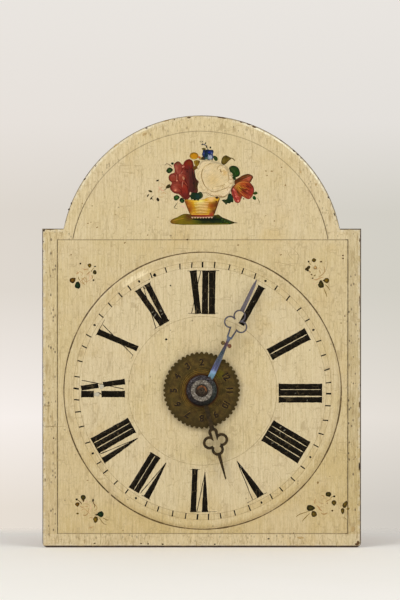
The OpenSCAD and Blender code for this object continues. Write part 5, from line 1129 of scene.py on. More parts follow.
def paintCreamRose(art):
    cream, edge = (215, 194, 151), (224, 204, 164)
    art.patch(
        [(200.7, 162.2), (198.8, 166.6), (196.3, 169.6), (194.8, 172.6), (194.8, 176), (196.2, 179.4),
         (198.8, 182), (197.4, 185.4), (197.6, 188.4), (199.2, 191.2), (203, 193), (207, 193.6),
         (210.8, 195.6), (215, 196.6), (219.6, 197.8), (223.2, 197.8), (226.6, 196), (229.4, 193.4),
         (231.4, 190), (232.8, 186.6), (233.9, 182.4), (232.9, 177.8), (231, 173.4), (228.6, 169.4),
         (226, 166), (222.6, 163.8), (217, 162), (212.6, 160.9), (207.6, 160.3), (203.4, 160.6)],
        cream, 0, rings=20, angle=40, lift=0.05,
        tints=[(228, 191, 5, (224, 202, 166)), (225.5, 171, 4.5, (206, 176, 118)),
               (208, 194, 4, (216, 194, 150)), (217, 196, 4, (212, 186, 140))])
    art.patch(
        [(201.9, 176.4), (202.8, 170.6), (205.6, 166), (209.8, 163), (215.2, 162.4), (220.4, 163.8),
         (225, 167), (228.4, 171.6), (229.6, 176.8), (228.8, 182.4), (226, 187), (221.4, 190.2),
         (215.6, 191.3), (210, 190), (205.4, 186.8), (202.6, 182)],
        (212, 190, 145), 0.4, angle=40, lift=0.04,
        tints=[(213, 180, 8, (208, 182, 130)), (224.6, 172.6, 4, (202, 168, 108)),
               (207, 170, 5, (216, 196, 156))])
    for points, half, colour in [
            ([(199.6, 164.6), (197.8, 168.4), (195.6, 171.8), (195.6, 176.4), (198.8, 181.2)], 0.55, edge),
            ([(198.9, 182.6), (198.2, 186.4), (199.2, 190.4), (203.4, 192.4)], 0.55, edge),
            ([(203.5, 168), (202.1, 171.1), (201.6, 175.2), (202.1, 179.3), (204.5, 185.2), (206.8, 187.8)],
             0.42, (150, 122, 72)),
            ([(202.4, 180), (203, 181.8), (203.6, 182.8)], 0.5, (122, 92, 44)),
            ([(206, 162), (201.8, 164.4), (200.2, 168)], 0.4, (226, 205, 164)),
            ([(203, 169), (205.4, 166), (209, 164.2), (213.4, 164)], 0.28, (190, 164, 110)),
            ([(207.4, 188.2), (210.9, 191), (214.9, 191.7), (220.8, 190), (226.7, 187.7), (229.5, 185.4)],
             0.3, (158, 130, 82)),
            ([(206, 189.4), (210.4, 192.8), (215, 193.6), (220.6, 192.2), (226.4, 190), (230.4, 187)],
             0.45, (226, 204, 160)),
            ([(215, 186.6), (220, 186), (225, 184.4), (229, 182)], 0.26, (168, 140, 90)),
            ([(209, 186.4), (212, 188.4), (217, 188.6), (222, 187.4)], 0.32, (228, 204, 154)),
            ([(218.4, 194.4), (220.4, 196.2), (223.4, 197), (226.6, 195.6)], 0.28, (142, 110, 66)),
            ([(219.4, 193.4), (222.4, 195), (225.6, 194.6), (228.6, 192)], 0.4, (226, 204, 164)),
            ([(210.6, 194.6), (213.6, 195.2), (216.6, 196.6)], 0.4, (226, 205, 166)),
            ([(205.6, 191.4), (208, 193.2), (211, 193.4)], 0.25, (172, 146, 100)),
            ([(222, 184.9), (224.4, 187.4), (226.6, 189)], 0.22, (176, 148, 98)),
            ([(217.3, 170), (217.6, 167.4), (219.6, 165.6), (222, 165.6)], 0.3, (164, 136, 86)),
            ([(219, 169), (220.6, 170), (221.2, 171.8)], 0.42, (142, 112, 60)),
            ([(222, 167.6), (224.4, 168.8), (226.4, 171.4)], 0.45, (226, 202, 156)),
            ([(229, 174.4), (230, 178.6), (230.2, 182.8)], 0.35, (228, 206, 166)),
            ([(227.8, 173.8), (228.8, 177.8), (228.6, 181)], 0.25, (180, 150, 96)),
            ([(200.4, 185), (201.8, 188.4), (204.6, 190.6)], 0.25, (186, 156, 106)),
            ([(198.4, 173), (197.8, 176.4), (199.4, 179.6)], 0.25, (198, 168, 120))]:
        art.line(points, half, colour, 1.4)
    for k in range(9):
        x = 207 + 2.5 * k
        y = 189.8 + 1.6 * math.sin(k * 1.9) - 0.14 * k
        art.line([(x, y - 1.2), (x + 0.5, y), (x + 0.2, y + 1.3)], 0.28,
                 (224, 204, 160) if k % 2 else (180, 152, 102), 2)
    for x, y, size in [(219.4, 168.6, 0.8), (222.6, 173, 0.7), (225.8, 184, 0.9), (227.6, 183, 0.8),
                       (224, 166.4, 0.6), (221.4, 167.8, 0.6)]:
        art.drop(x, y, size * 1.2, size, 25, (226, 206, 164), 2)
    art.drop(220.9, 171.5, 0.9, 0.55, -50, (122, 90, 46), 2.2)
    for k in range(7):
        y = 174.4 + 2.1 * k
        x = 231.4 + 1.3 * math.sin((y - 172) * 0.22)
        art.line([(x - 3.2, y + 0.9), (x - 1.2, y + 0.7), (x + 0.6, y - 0.2)], 0.3,
                 (228, 206, 168) if k % 2 else (172, 140, 92), 1.8)
    for k in range(6):
        x = 208.4 + 2.9 * k
        y = 194.2 + 0.34 * k
        art.line([(x - 1.2, y), (x, y + 1.1), (x + 1.3, y + 0.2)], 0.26, (160, 128, 80), 2)
        art.line([(x - 1.1, y - 1), (x + 0.1, y + 0.1), (x + 1.2, y - 0.8)], 0.36, (226, 204, 166), 2)


def paintTulip(art):
    art.patch([(235.2, 179.6), (239, 177.6), (242.5, 175.3), (247.7, 173.8), (251.8, 175.2), (253.2, 177.3),
               (251.6, 180.2), (249.6, 182.8), (244.5, 182.4), (239.8, 182.8), (235.2, 184.8),
               (234.2, 182)], (122, 56, 24), 0, rim=(74, 40, 6), angle=25,
              tints=[(238, 180.6, 4, (80, 42, 4)), (246, 175.6, 4, (88, 54, 12)),
                     (249, 178.6, 4, (164, 76, 52)), (244.6, 180.6, 3, (146, 66, 30))])
    art.patch(
        [(231.3, 190), (232.4, 187.4), (234.4, 184.8), (238.6, 182.2), (243.3, 181.2), (248.5, 181.6),
         (251.8, 184.4), (253.9, 187.9), (253.9, 191.9), (252.2, 196.4), (249.2, 199.2), (245.7, 198.4),
         (242.6, 196.4), (241, 197.6), (240.6, 200.8), (238.2, 203.2), (235, 201.8), (233.1, 197.8),
         (231.6, 193.7)],
        (140, 50, 24), 0.6, rings=20, angle=-40,
        tints=[(232.6, 189, 4, (108, 44, 22)), (237.6, 185.6, 4.4, (176, 116, 50)),
               (239.4, 188.4, 4.2, (164, 112, 14)), (243, 185, 4, (170, 80, 26)),
               (238.6, 192.6, 3.4, (140, 70, 14)), (234.6, 194, 4.4, (166, 62, 52)),
               (236.6, 199.6, 4.4, (168, 60, 52)), (247, 189, 5, (128, 40, 10)),
               (251.6, 190, 4, (144, 42, 34)), (248.6, 196, 4.4, (144, 52, 34)),
               (252.6, 185.6, 3, (96, 34, 12))])
    for points, half, colour in [
            ([(235.4, 184.6), (239.6, 182.6), (244.4, 182), (249, 183)], 0.45, (196, 116, 54)),
            ([(238.2, 184.8), (238.4, 188), (240.4, 191)], 0.45, (192, 140, 40)),
            ([(240.6, 184.8), (242, 188.4), (245.4, 191.4)], 0.35, (112, 50, 6)),
            ([(243.4, 184), (246, 187.4), (249.6, 190)], 0.35, (176, 84, 34)),
            ([(245.6, 183.6), (248.6, 186.4), (251.4, 188.6)], 0.35, (100, 30, 8)),
            ([(236.4, 188.6), (238.6, 192.6), (242, 195.4)], 0.35, (98, 46, 6)),
            ([(239.4, 190.6), (243, 194), (247.4, 196.6)], 0.4, (176, 92, 34)),
            ([(241.6, 190), (245.6, 193), (250.4, 194.6)], 0.35, (108, 30, 8)),
            ([(232.2, 189), (233.6, 193.6), (235.2, 198)], 0.4, (118, 34, 30)),
            ([(233.2, 188.4), (234, 190), (235.6, 191.4)], 0.6, (204, 98, 84)),
            ([(235, 193.4), (237, 196), (239.2, 197.2)], 0.35, (200, 104, 84)),
            ([(240.6, 199.4), (241.6, 197.6), (242.2, 196.2)], 0.3, (92, 30, 12)),
            ([(231.5, 193.6), (231.6, 189.8), (233.6, 186), (237.4, 183)], 0.4, (92, 34, 18)),
            ([(251.8, 184.8), (253.6, 188), (253.6, 192)], 0.35, (96, 26, 14)),
            ([(239, 178.8), (243.4, 176.8), (248, 175.2)], 0.35, (96, 52, 14)),
            ([(243, 179.6), (247, 177.8), (251.4, 176.6)], 0.4, (186, 96, 70)),
            ([(236.2, 180.8), (240, 179.4), (245, 178.2), (249.6, 176.2)], 0.5, (70, 34, 4)),
            ([(237, 187.2), (240.4, 191.4), (244.8, 195.6)], 0.4, (84, 28, 4)),
            ([(238, 186.4), (242.4, 190.2), (248, 193.2)], 0.4, (86, 26, 4)),
            ([(239.4, 185.6), (244, 188.6), (250, 190.4)], 0.36, (92, 28, 8)),
            ([(241, 184.6), (246, 186.4), (251.8, 187.6)], 0.34, (96, 30, 10)),
            ([(236.8, 188.4), (237.4, 192), (239.8, 196)], 0.42, (92, 34, 6)),
            ([(237.6, 185.4), (241.4, 187.4), (246.2, 188.6)], 0.3, (206, 144, 54)),
            ([(237.4, 187.8), (240.6, 192.4), (245.6, 197.4)], 0.26, (200, 110, 60)),
            ([(234.2, 197.2), (236.8, 200), (238.6, 202.4)], 0.4, (122, 30, 26))]:
        art.line(points, half, colour, 1.7)
    for x, y, size, colour in [(252, 190, 1.0, (158, 48, 40)), (233.6, 189.4, 0.9, (214, 112, 100)),
                               (238.2, 200.8, 0.8, (220, 128, 106)), (236, 196.6, 0.7, (206, 106, 90)),
                               (247.2, 191.4, 0.9, (160, 70, 50)), (249.8, 197, 0.7, (176, 86, 66)),
                               (243.6, 198.8, 0.6, (60, 16, 12)), (250.6, 193.4, 0.8, (156, 40, 40))]:
        art.drop(x, y, size * 1.3, size, -35, colour, 2.2)


def paintSmallFlowers(art):
    art.patch([(202.6, 152), (203.2, 149.6), (205.8, 150), (207.8, 149.1), (210, 149.9), (212.8, 149.9),
               (213.7, 152), (212.9, 154.2), (213.6, 156.6), (212.8, 159.2), (210.6, 159.6), (208.8, 160.3),
               (206.6, 159.4), (204.2, 160.1), (201.8, 159), (202.7, 156.6), (201.9, 154.4)],
              (22, 36, 66), 0.4, angle=90, rings=18,
              tints=[(206, 150.4, 3.2, (10, 24, 44)), (203.8, 153.6, 2.6, (30, 42, 88)),
                     (206.8, 155.4, 2.8, (12, 44, 58)), (211.6, 152.6, 2.4, (44, 56, 104)),
                     (210, 157.6, 3, (150, 158, 176)), (206.6, 158.8, 2.2, (66, 96, 84)),
                     (203.2, 158.4, 2.6, (20, 24, 14)), (212.8, 150.6, 2, (24, 32, 56)),
                     (212.4, 155.8, 2, (70, 78, 112))])
    art.drop(209.4, 152.4, 1.1, 0.9, 20, (28, 40, 132), 1.6, ragged=0.3)
    art.line([(208.4, 154.6), (209.2, 156.8), (208.8, 159.2)], 0.55, (160, 170, 192), 1.6)
    art.line([(210.6, 155), (211.4, 157), (211, 158.8)], 0.45, (172, 178, 192), 1.6)
    art.line([(205.2, 151), (205.4, 154), (206.6, 157)], 0.5, (8, 26, 38), 1.6)
    art.line([(207.6, 150.6), (207.2, 153), (208, 155)], 0.4, (18, 44, 72), 1.6)
    art.drop(203.8, 153.4, 0.8, 0.6, 20, (58, 72, 122), 1.6)
    art.drop(211.6, 153.4, 0.8, 0.5, 60, (96, 108, 152), 1.6)
    art.drop(199.4, 157.3, 1.5, 0.95, -20, (176, 84, 16), 0.5, ragged=0.2)
    art.drop(194, 155.9, 4.5, 3.6, 0, (184, 130, 10), 0.8, tip=(188, 122, 12), rim=(134, 96, 6))
    art.line([(190.4, 154.4), (193.8, 152.8), (197.4, 154.2)], 0.55, (128, 92, 4), 1.4)
    art.line([(191, 157.8), (194, 158.6), (197, 157.6)], 0.4, (206, 160, 40), 1.4)
    art.patch([(193.7, 161.6), (195.4, 160.1), (198, 160.2), (200.1, 161.2), (199.2, 164), (197, 166.8),
               (194.9, 165)], (136, 106, 24), 0.6, angle=60, tints=[(199, 162, 2.2, (90, 60, 12))])
    art.line([(196, 160.6), (196.6, 163), (196, 165.6)], 0.3, (92, 70, 10), 1.6)
    art.patch([(192.6, 167.6), (194.8, 165.8), (197.2, 167), (198.9, 169.4), (196.6, 168.8), (194.4, 170.2)],
              (92, 60, 10), 1.2, rings=8)
    for x, y, long_, wide, angle, colour in [
            (203.8, 148.9, 2.1, 0.95, -8, (88, 76, 20)), (215.5, 158.5, 2.9, 1.8, -60, (40, 58, 18)),
            (202.4, 158.3, 2.0, 1.4, 30, (60, 46, 18)), (200.4, 158.7, 1.6, 1.1, 10, (146, 124, 62)),
            (210.4, 147.5, 1.0, 0.8, 60, (10, 30, 6)), (205.4, 143.3, 1.0, 0.6, 50, (26, 50, 20)),
            (202.4, 144.5, 1.3, 0.6, 15, (22, 26, 36)), (204.6, 144.8, 1.1, 0.6, -30, (84, 86, 110)),
            (206.6, 146.1, 0.9, 0.6, -50, (24, 30, 34)), (202.4, 141.7, 1.0, 0.45, -30, (84, 84, 66)),
            (200.3, 141.7, 0.7, 0.6, 0, (126, 124, 88)), (212.2, 160, 0.8, 0.5, 60, (60, 52, 44)),
            (172.4, 163.6, 1.3, 1.4, 80, (26, 38, 16)), (168.4, 186.3, 2.6, 1.8, 30, (52, 44, 8)),
            (157.5, 180.5, 1.5, 0.8, 20, (34, 24, 4)), (150.4, 191.2, 2.0, 1.1, -12, (60, 50, 8)),
            (157.9, 199.5, 1.9, 1.4, -60, (44, 32, 8)), (192.8, 154.9, 0.45, 0.35, 0, (70, 50, 10)),
            (195.0, 155.1, 0.45, 0.35, 0, (60, 44, 10)), (206.8, 147.6, 1.2, 0.55, -50, (20, 34, 30)),
            (147.9, 195.6, 1.7, 0.75, 55, (50, 40, 12)), (151.2, 198.4, 1.5, 0.8, 50, (44, 38, 12))]:
        art.drop(x, y, long_, wide, angle, colour, 1, ragged=0.25)
    art.patch([(166.3, 170.6), (167.6, 168.4), (169.6, 167.4), (171.6, 168.2), (173.1, 169.8),
               (171.6, 172), (169, 173.4), (167, 172.4)], (16, 40, 4), 0.5,
              tints=[(169.6, 170.6, 1.8, (44, 76, 28))], rim=(8, 24, 1))
    art.patch([(173.6, 198), (174.4, 195.8), (176.6, 194.9), (179, 196), (179.6, 197.8), (177.2, 200.2),
               (174.8, 200.4)], (20, 52, 8), 0.5, tints=[(176.6, 197.4, 1.6, (54, 96, 38))],
              rim=(8, 32, 2))
    art.patch([(179.4, 200), (181, 197.8), (183.2, 198.4), (184.4, 201), (183, 203), (180.6, 202.4)],
              (6, 38, 4), 0.7, tints=[(182, 201, 1.2, (50, 88, 40))], rim=(3, 24, 1))


def paintLeaves(art):
    art.patch([(221.1, 162), (222, 158.3), (223.6, 156.2), (225.7, 155.2), (228.6, 156.6), (231.4, 158.2),
               (229.6, 160.2), (228, 161.6), (226, 163.8), (223.6, 164.8), (221.9, 163.9)],
              (90, 72, 12), 0.8, angle=50, rim=(64, 50, 4),
              tints=[(223.4, 160.6, 2.6, (104, 88, 28)), (226.6, 157, 2.6, (72, 58, 4))])
    art.line([(229, 157.4), (232.3, 158.4), (234, 159.6), (234.9, 161)], 0.42, (86, 70, 20), 1)
    art.patch([(229, 168.4), (230.5, 166.2), (234.2, 165.7), (237.8, 167.3), (239.5, 170.6), (240, 174.2),
               (238.1, 176.6), (235.4, 177.4), (233.9, 179.2), (232.2, 177.4), (232.4, 173.8),
               (230.3, 171.8)], (24, 52, 4), 0.8, angle=60, rim=(10, 34, 1),
              tints=[(233.6, 170, 3, (38, 60, 16)), (238, 173, 3, (22, 64, 2)),
                     (230.6, 168.4, 2, (46, 58, 10))])
    art.line([(231, 168), (234.4, 171.4), (236, 176)], 0.28, (56, 80, 30), 1.8)
    art.drop(234.6, 178.6, 1.5, 1.3, 60, (26, 48, 8), 0.7)
    art.patch([(221.8, 200.2), (224.2, 199.4), (226, 199.6), (227.2, 198), (228.2, 194.4), (230.3, 193.4),
               (232, 195.2), (233.2, 198.6), (233.2, 202.4), (231.4, 202), (229.5, 203.6), (227.6, 203),
               (226.2, 204.8), (224.6, 203)], (12, 38, 8), 0.3, angle=20,
              tints=[(230.6, 197.4, 3, (20, 52, 36)), (225.6, 201.6, 2, (40, 54, 16))])
    art.patch([(189.4, 196), (190.8, 193), (194, 192.4), (197.4, 192.9), (200.2, 191.8), (202.6, 193.8),
               (202.7, 196.8), (201, 198.6), (199.4, 199.2), (198.2, 201), (196.6, 199.6), (194.6, 200.4),
               (193, 199.2), (191.2, 199.6), (190.6, 197.6)], (14, 38, 12), 1.6, angle=0,
              tints=[(197.6, 196.2, 3.2, (18, 48, 42)), (200.6, 194.6, 2, (36, 50, 16))])
    art.line([(199.6, 192.8), (201.6, 194), (201.8, 196.4), (200.4, 197.8)], 0.35, (64, 76, 40), 2.4)
    art.patch([(252.9, 193.4), (255.6, 191.4), (257.8, 193.2), (255, 194.8)], (44, 62, 12), 0.8, rings=8)
    art.patch([(252.6, 196.8), (254.4, 195.6), (256.2, 197.8), (255.4, 200), (253, 199)], (10, 60, 10), 0.8,
              rings=8)
    for points, half, colour in [
            ([(257.3, 197.8), (258.8, 200.4), (259.4, 202.2), (258.8, 203.8)], 0.32, (120, 108, 60)),
            ([(177.3, 202.4), (175.8, 205.2), (174.1, 207.6), (176.9, 208.6)], 0.3, (66, 62, 30)),
            ([(164.8, 165.6), (165.9, 164.1), (167.8, 163.9), (170.3, 165.5), (172, 167)], 0.34,
             (120, 100, 72)),
            ([(168, 187), (166, 188.8), (164, 190.4)], 0.32, (96, 82, 40)),
            ([(153.6, 195.6), (151.8, 197.2), (150.6, 198.6), (152.6, 199), (153.4, 200.6)], 0.3,
             (62, 48, 20)),
            ([(207.6, 148.8), (206, 146), (203.4, 144.4), (201, 142.4)], 0.25, (60, 66, 60)),
            ([(158, 192), (160.4, 188.4), (163.4, 186.6)], 0.5, (206, 168, 130)),
            ([(158.4, 186.4), (161, 189.6), (164.6, 191)], 0.6, (216, 172, 140)),
            ([(160.6, 194), (163.6, 192.6), (166.4, 194)], 0.45, (196, 164, 116)),
            ([(160, 183.6), (163.2, 184.4), (165.6, 187.2)], 0.4, (204, 176, 132)),
            ([(180.4, 206.2), (183.6, 206), (185.6, 208.8)], 0.9, (222, 186, 160)),
            ([(158.4, 196), (161, 197.2), (164, 196.4)], 0.4, (198, 170, 122))]:
        art.line(points, half, colour, 0.6)


bouquet = Paint("bouquet")
paintBasket(bouquet)
paintCreamRose(bouquet)
paintTulip(bouquet)
paintRedRose(bouquet)
paintSmallFlowers(bouquet)
paintLeaves(bouquet)
oil = oilPaint()
bouquet.finish(oil)
print("bouquet painted")

# The sprays in the four corners. Drops are (x, y, long, wide, angle, colour, taper), lines are
# (points, half width, colour).
sprayTones = {
    "olive": (50, 42, 2), "ochre": (92, 70, 8), "brown": (84, 56, 4), "green": (10, 32, 6),
    "umber": (48, 34, 2), "stem": (128, 106, 48), "twig": (96, 68, 24), "rose": (216, 186, 146),
    "shade": (170, 138, 88), "rust": (180, 138, 90), "moss": (78, 60, 8),
}
sprayDrops = [
    (80.4, 263.5, 0.95, 0.9, 0, "umber", 0), (89.6, 265.6, 2.2, 1.75, -90, "ochre", 0.45),
    (95.0, 266.4, 1.0, 0.7, 10, "green", 0), (94.7, 272.2, 2.2, 2.0, 80, "olive", 0),
    (93.4, 280.2, 1.05, 0.85, 50, "umber", 0), (72.8, 280.1, 3.1, 2.7, 40, "brown", 0.3),
    (77.7, 285, 3.7, 2.8, 90, "green", 0.35), (91.4, 271, 0.6, 0.45, 40, "twig", 0),
    (83.2, 497.6, 2.7, 2.55, 80, "olive", 0), (83.3, 500.8, 1.3, 1.0, -90, "brown", 0.5),
    (76.6, 499.6, 1.3, 1.1, -20, "umber", 0), (77.3, 504.8, 2.2, 2.1, -80, "brown", 0.4),
    (77.5, 513.7, 1.3, 0.9, 0, "ochre", 0), (92.9, 500.6, 1.55, 0.95, 80, "umber", 0),
    (100.3, 514.5, 3.4, 3.0, 180, "green", 0.3), (96.4, 514.9, 1.2, 0.8, 180, "umber", 0.4),
    (95.4, 519.8, 3.1, 2.5, -90, "ochre", 0.15),
    (328.6, 494.4, 2.8, 2.6, 0, "olive", 0), (334.3, 496.5, 1.2, 1.0, -20, "umber", 0),
    (334.1, 503.1, 2.7, 2.4, -80, "moss", 0.3), (332.5, 510.8, 1.0, 0.9, 0, "brown", 0),
    (327.5, 503.4, 0.7, 0.6, 0, "shade", 0), (311.1, 508.3, 4.1, 3.0, 0, "olive", 0.45),
    (314.0, 514.1, 3.1, 2.9, 100, "moss", 0.1), (345.4, 504.4, 3.6, 2.2, 60, "moss", 0.2),
    (342.8, 511.2, 3.2, 1.8, -90, "moss", 0.3), (348.2, 508.9, 1.6, 1.0, 20, "stem", 0),
    (314.0, 260.1, 2.1, 2.0, 0, "moss", 0), (308.6, 261.5, 0.95, 0.85, 60, "umber", 0),
    (321.0, 261.6, 1.1, 0.8, 0, "brown", 0), (308.5, 267.4, 2.0, 1.6, 40, "umber", 0),
    (306.7, 269.0, 1.9, 1.6, 40, "umber", 0), (307.8, 270.2, 1.3, 1.2, -60, "umber", 0.3),
    (309.9, 271.8, 1.1, 0.7, -50, "shade", 0), (311.6, 274.5, 1.1, 0.6, -35, "twig", 0),
    (314.6, 275.5, 1.2, 0.6, 30, "stem", 0), (312.7, 278.2, 0.8, 0.7, 20, "brown", 0),
    (315.3, 267.2, 1.9, 1.7, 90, "shade", 0.5), (326.5, 280.4, 2.7, 2.6, 180, "ochre", 0),
    (323.8, 280.4, 1.0, 0.8, 180, "umber", 0.4), (321.0, 284.3, 3.9, 2.8, 95, "olive", 0.3),
]
sprayLines = [
    ([(91.4, 271), (92.8, 269), (94.3, 267.2)], 0.28, "stem"),
    ([(76.6, 499.6), (79, 501.2), (81, 503.2), (81.8, 504.6)], 0.42, "twig"),
    ([(92.9, 501.4), (93.6, 503.6), (94.8, 505.4), (94.2, 507.8)], 0.4, "twig"),
    ([(94.6, 505), (96.2, 506.2), (96.9, 508.4), (96, 510), (93.8, 510.6)], 0.34, "shade"),
    ([(98.6, 517.4), (101.2, 521), (103.6, 523.8), (106.8, 525)], 0.36, "stem"),
    ([(102.4, 518), (104.8, 519), (106.8, 520.2), (108.6, 520)], 0.42, "stem"),
    ([(82.8, 515), (84.6, 515.6), (86.2, 515.2), (88.2, 513)], 0.5, "shade"),
    ([(334, 496.6), (332.4, 497), (330.2, 498.4)], 0.34, "stem"),
    ([(308.9, 511.5), (303.4, 513.2), (298.8, 515), (296, 517.3)], 0.36, "stem"),
    ([(309.6, 513.6), (306.8, 516.4), (304.4, 519), (302.4, 521.6)], 0.4, "stem"),
    ([(344, 517), (345.6, 518.8), (347.4, 519.6)], 0.3, "stem"),
    ([(308.9, 262.4), (310.2, 263.8), (310.8, 264.8)], 0.4, "stem"),
    ([(325.2, 284.4), (327.6, 286.8), (330.2, 290.2)], 0.44, "stem"),
    ([(324, 288.2), (325, 291.4), (326.2, 294), (327, 297)], 0.42, "stem"),
    ([(77.2, 271.4), (78, 273.2), (76.2, 273.4)], 0.45, "rust"),
    ([(78.4, 276.6), (78.6, 278.4), (79.8, 280.4)], 0.42, "stem"),
    ([(86.6, 274.8), (88.4, 273), (90, 271.4)], 0.5, "shade"),
    ([(87.2, 275.6), (89.2, 273.8), (90.8, 272.2)], 0.55, "rose"),
    ([(81, 277.6), (83, 278.8), (84.8, 277.4), (86, 279)], 0.4, "shade"),
    ([(82, 280.2), (83.2, 283), (85, 284.6)], 0.42, "shade"),
    ([(89.8, 274.6), (90.4, 277.8), (89.6, 280.6)], 1.1, "rose"),
    ([(91.8, 275), (92.4, 277), (91.8, 278.6)], 0.5, "shade"),
    ([(82.6, 268.6), (85.4, 269.4), (88.4, 269)], 0.4, "rust"),
    ([(86.4, 277.4), (86.6, 280.6), (86.4, 283.4)], 0.32, "shade"),
    ([(84.6, 502.6), (86.2, 501.4), (87.4, 502.6)], 0.9, "rose"),
    ([(79.6, 506), (82, 507.4), (84, 506.8)], 0.4, "rust"),
    ([(84.6, 506.4), (86.4, 506.6), (88, 506.4)], 0.36, "rust"),
    ([(90.2, 503.8), (90.8, 508), (89.4, 512.2)], 0.9, "rose"),
    ([(88.2, 508), (88.8, 510), (88, 512)], 0.34, "shade"),
    ([(88.6, 518.4), (91, 517.8), (93, 518.4)], 0.4, "rust"),
    ([(88.2, 528.4), (91, 527.8), (93.4, 526.6)], 0.4, "rust"),
    ([(321.6, 495.4), (323.4, 496), (324.4, 498)], 0.55, "shade"),
    ([(315.8, 499.4), (314.8, 501.8), (315.2, 504.4)], 0.5, "rust"),
    ([(316.6, 505.6), (318.4, 507), (320, 509.4), (322.4, 511.4)], 0.55, "rust"),
    ([(326, 502), (328.4, 500.4), (331, 499)], 0.45, "shade"),
    ([(321, 513), (324, 514.4), (327.6, 513)], 0.7, "shade"),
    ([(323.8, 266.2), (324.8, 269.6), (324.2, 272.4), (321, 275.6), (318.6, 277)], 0.42, "shade"),
    ([(313.6, 279.4), (316, 279.8), (319.4, 278.2), (323, 277.2)], 0.44, "rust"),
    ([(312.6, 283.4), (314.4, 283.6), (316.2, 282.6)], 0.4, "rose"),
    ([(319.4, 269.6), (319.8, 271.8), (320.8, 273.4)], 0.4, "shade"),
    ([(76.4, 274.6), (79.4, 271.6), (82.6, 273.2), (80.8, 276.4)], 0.22, "rust"),
    ([(79.2, 282.6), (82.8, 279.4), (86.4, 281.8), (90.6, 279.4)], 0.22, "rust"),
    ([(83.6, 270.6), (87.6, 268.8), (86.2, 272)], 0.2, "rust"),
    ([(78.2, 278.8), (81.6, 282.4), (85.4, 285)], 0.2, "shade"),
    ([(88.2, 283), (91.2, 281.2)], 0.2, "rust"),
    ([(81, 511), (84, 509), (87.6, 511.8), (90.4, 515)], 0.22, "rust"),
    ([(83, 504.6), (86.6, 503.8), (90, 506.2)], 0.2, "shade"),
    ([(318, 500.6), (320.6, 503.4), (324.4, 504)], 0.22, "rust"),
    ([(318.6, 509), (321.6, 506.8), (325.4, 508.4)], 0.2, "shade"),
    ([(316.4, 270), (319.4, 267.6), (322, 270.4)], 0.22, "rust"),
]
sprays = Paint("corner_sprays")
for x, y, long_, wide, angle, name, taper in sprayDrops:
    colour = sprayTones[name]
    shadow = [value * 0.6 for value in colour]
    glint = [min(255, value * 1.2 + 10) for value in colour]
    sprays.drop(x, y, long_, wide, angle, colour, 0.5, rim=shadow, taper=taper, ragged=0.22)
    if long_ > 1.8:
        sprays.drop(x - 0.15 * long_, y, long_ * 0.4, wide * 0.36, angle + 20, glint, 1)
for points, half, name in sprayLines:
    sprays.line(points, half, sprayTones[name], 0.2)
sprays.finish(oil)
print("corner sprays painted")

# Bare spots, smears and short cracks. Spots are (x, y, long, wide, angle, colour).
wearTones = {
    "bare": (92, 68, 42), "dark": (46, 30, 14), "smear": (182, 156, 108), "dot": (140, 112, 64),
    "crack": (164, 142, 98), "chalk": (188, 180, 158), "scuff": (96, 92, 78), "nick": (118, 114, 96),
}
edgeSpots = [
    (189, 118.9, 2.0, 0.9, 0, "bare"), (174.7, 120.9, 1.0, 0.7, 20, "bare"),
    (166.6, 121.9, 3.4, 0.5, 14, "dot"), (85.9, 179.6, 1.3, 0.9, 40, "dark"),
    (72.4, 203.9, 1.3, 0.7, 68, "dark"), (70.1, 209.8, 1.2, 0.7, 66, "dark"),
    (44.0, 230.6, 1.3, 0.8, 80, "dark"), (49.5, 229.4, 4.2, 0.5, 0, "bare"),
    (116.5, 146.4, 2.6, 1.1, 35, "smear"), (144.6, 134.6, 2.6, 1.5, 30, "smear"),
    (221.7, 119, 4.1, 0.85, -8, "bare"), (240.8, 123.3, 1.5, 0.7, -14, "bare"),
    (248.4, 125.7, 1.4, 0.6, -18, "bare"), (253.7, 128.2, 1.9, 1.0, -24, "bare"),
    (293, 151.8, 1.4, 0.8, -40, "dark"), (296.6, 155.3, 1.6, 0.7, -42, "dark"),
    (327.2, 198, 1.2, 0.6, -60, "dark"), (333.2, 214.6, 1.9, 0.6, -72, "dark"),
    (300.4, 172.2, 1.3, 1.2, 50, "smear"), (315.6, 184.8, 1.5, 1.1, 60, "smear"),
    (359.3, 467, 4.6, 0.8, 90, "dark"), (357.6, 543.6, 2.4, 1.6, 40, "bare"),
    (352, 530, 3.4, 2.4, 30, "smear"), (300.5, 537.7, 3.0, 1.8, 0, "smear"),
    (359.6, 240, 2.2, 0.5, 90, "bare"), (359.6, 300, 5, 0.4, 90, "bare"),
    (359.6, 405, 3.4, 0.5, 90, "bare"), (94.6, 543.6, 1.0, 0.8, 0, "bare"),
    (141, 543.8, 0.9, 0.7, 0, "bare"), (148, 544, 0.8, 1.0, 0, "dark"), (162.6, 544.4, 1.2, 0.8, 0, "dark"),
    (214.8, 544.4, 0.9, 0.7, 0, "dark"), (268.7, 539, 1.0, 0.9, 0, "dark"), (45, 480, 2.0, 0.5, 90, "bare"),
    (44.8, 405, 1.4, 0.5, 90, "bare"),
]
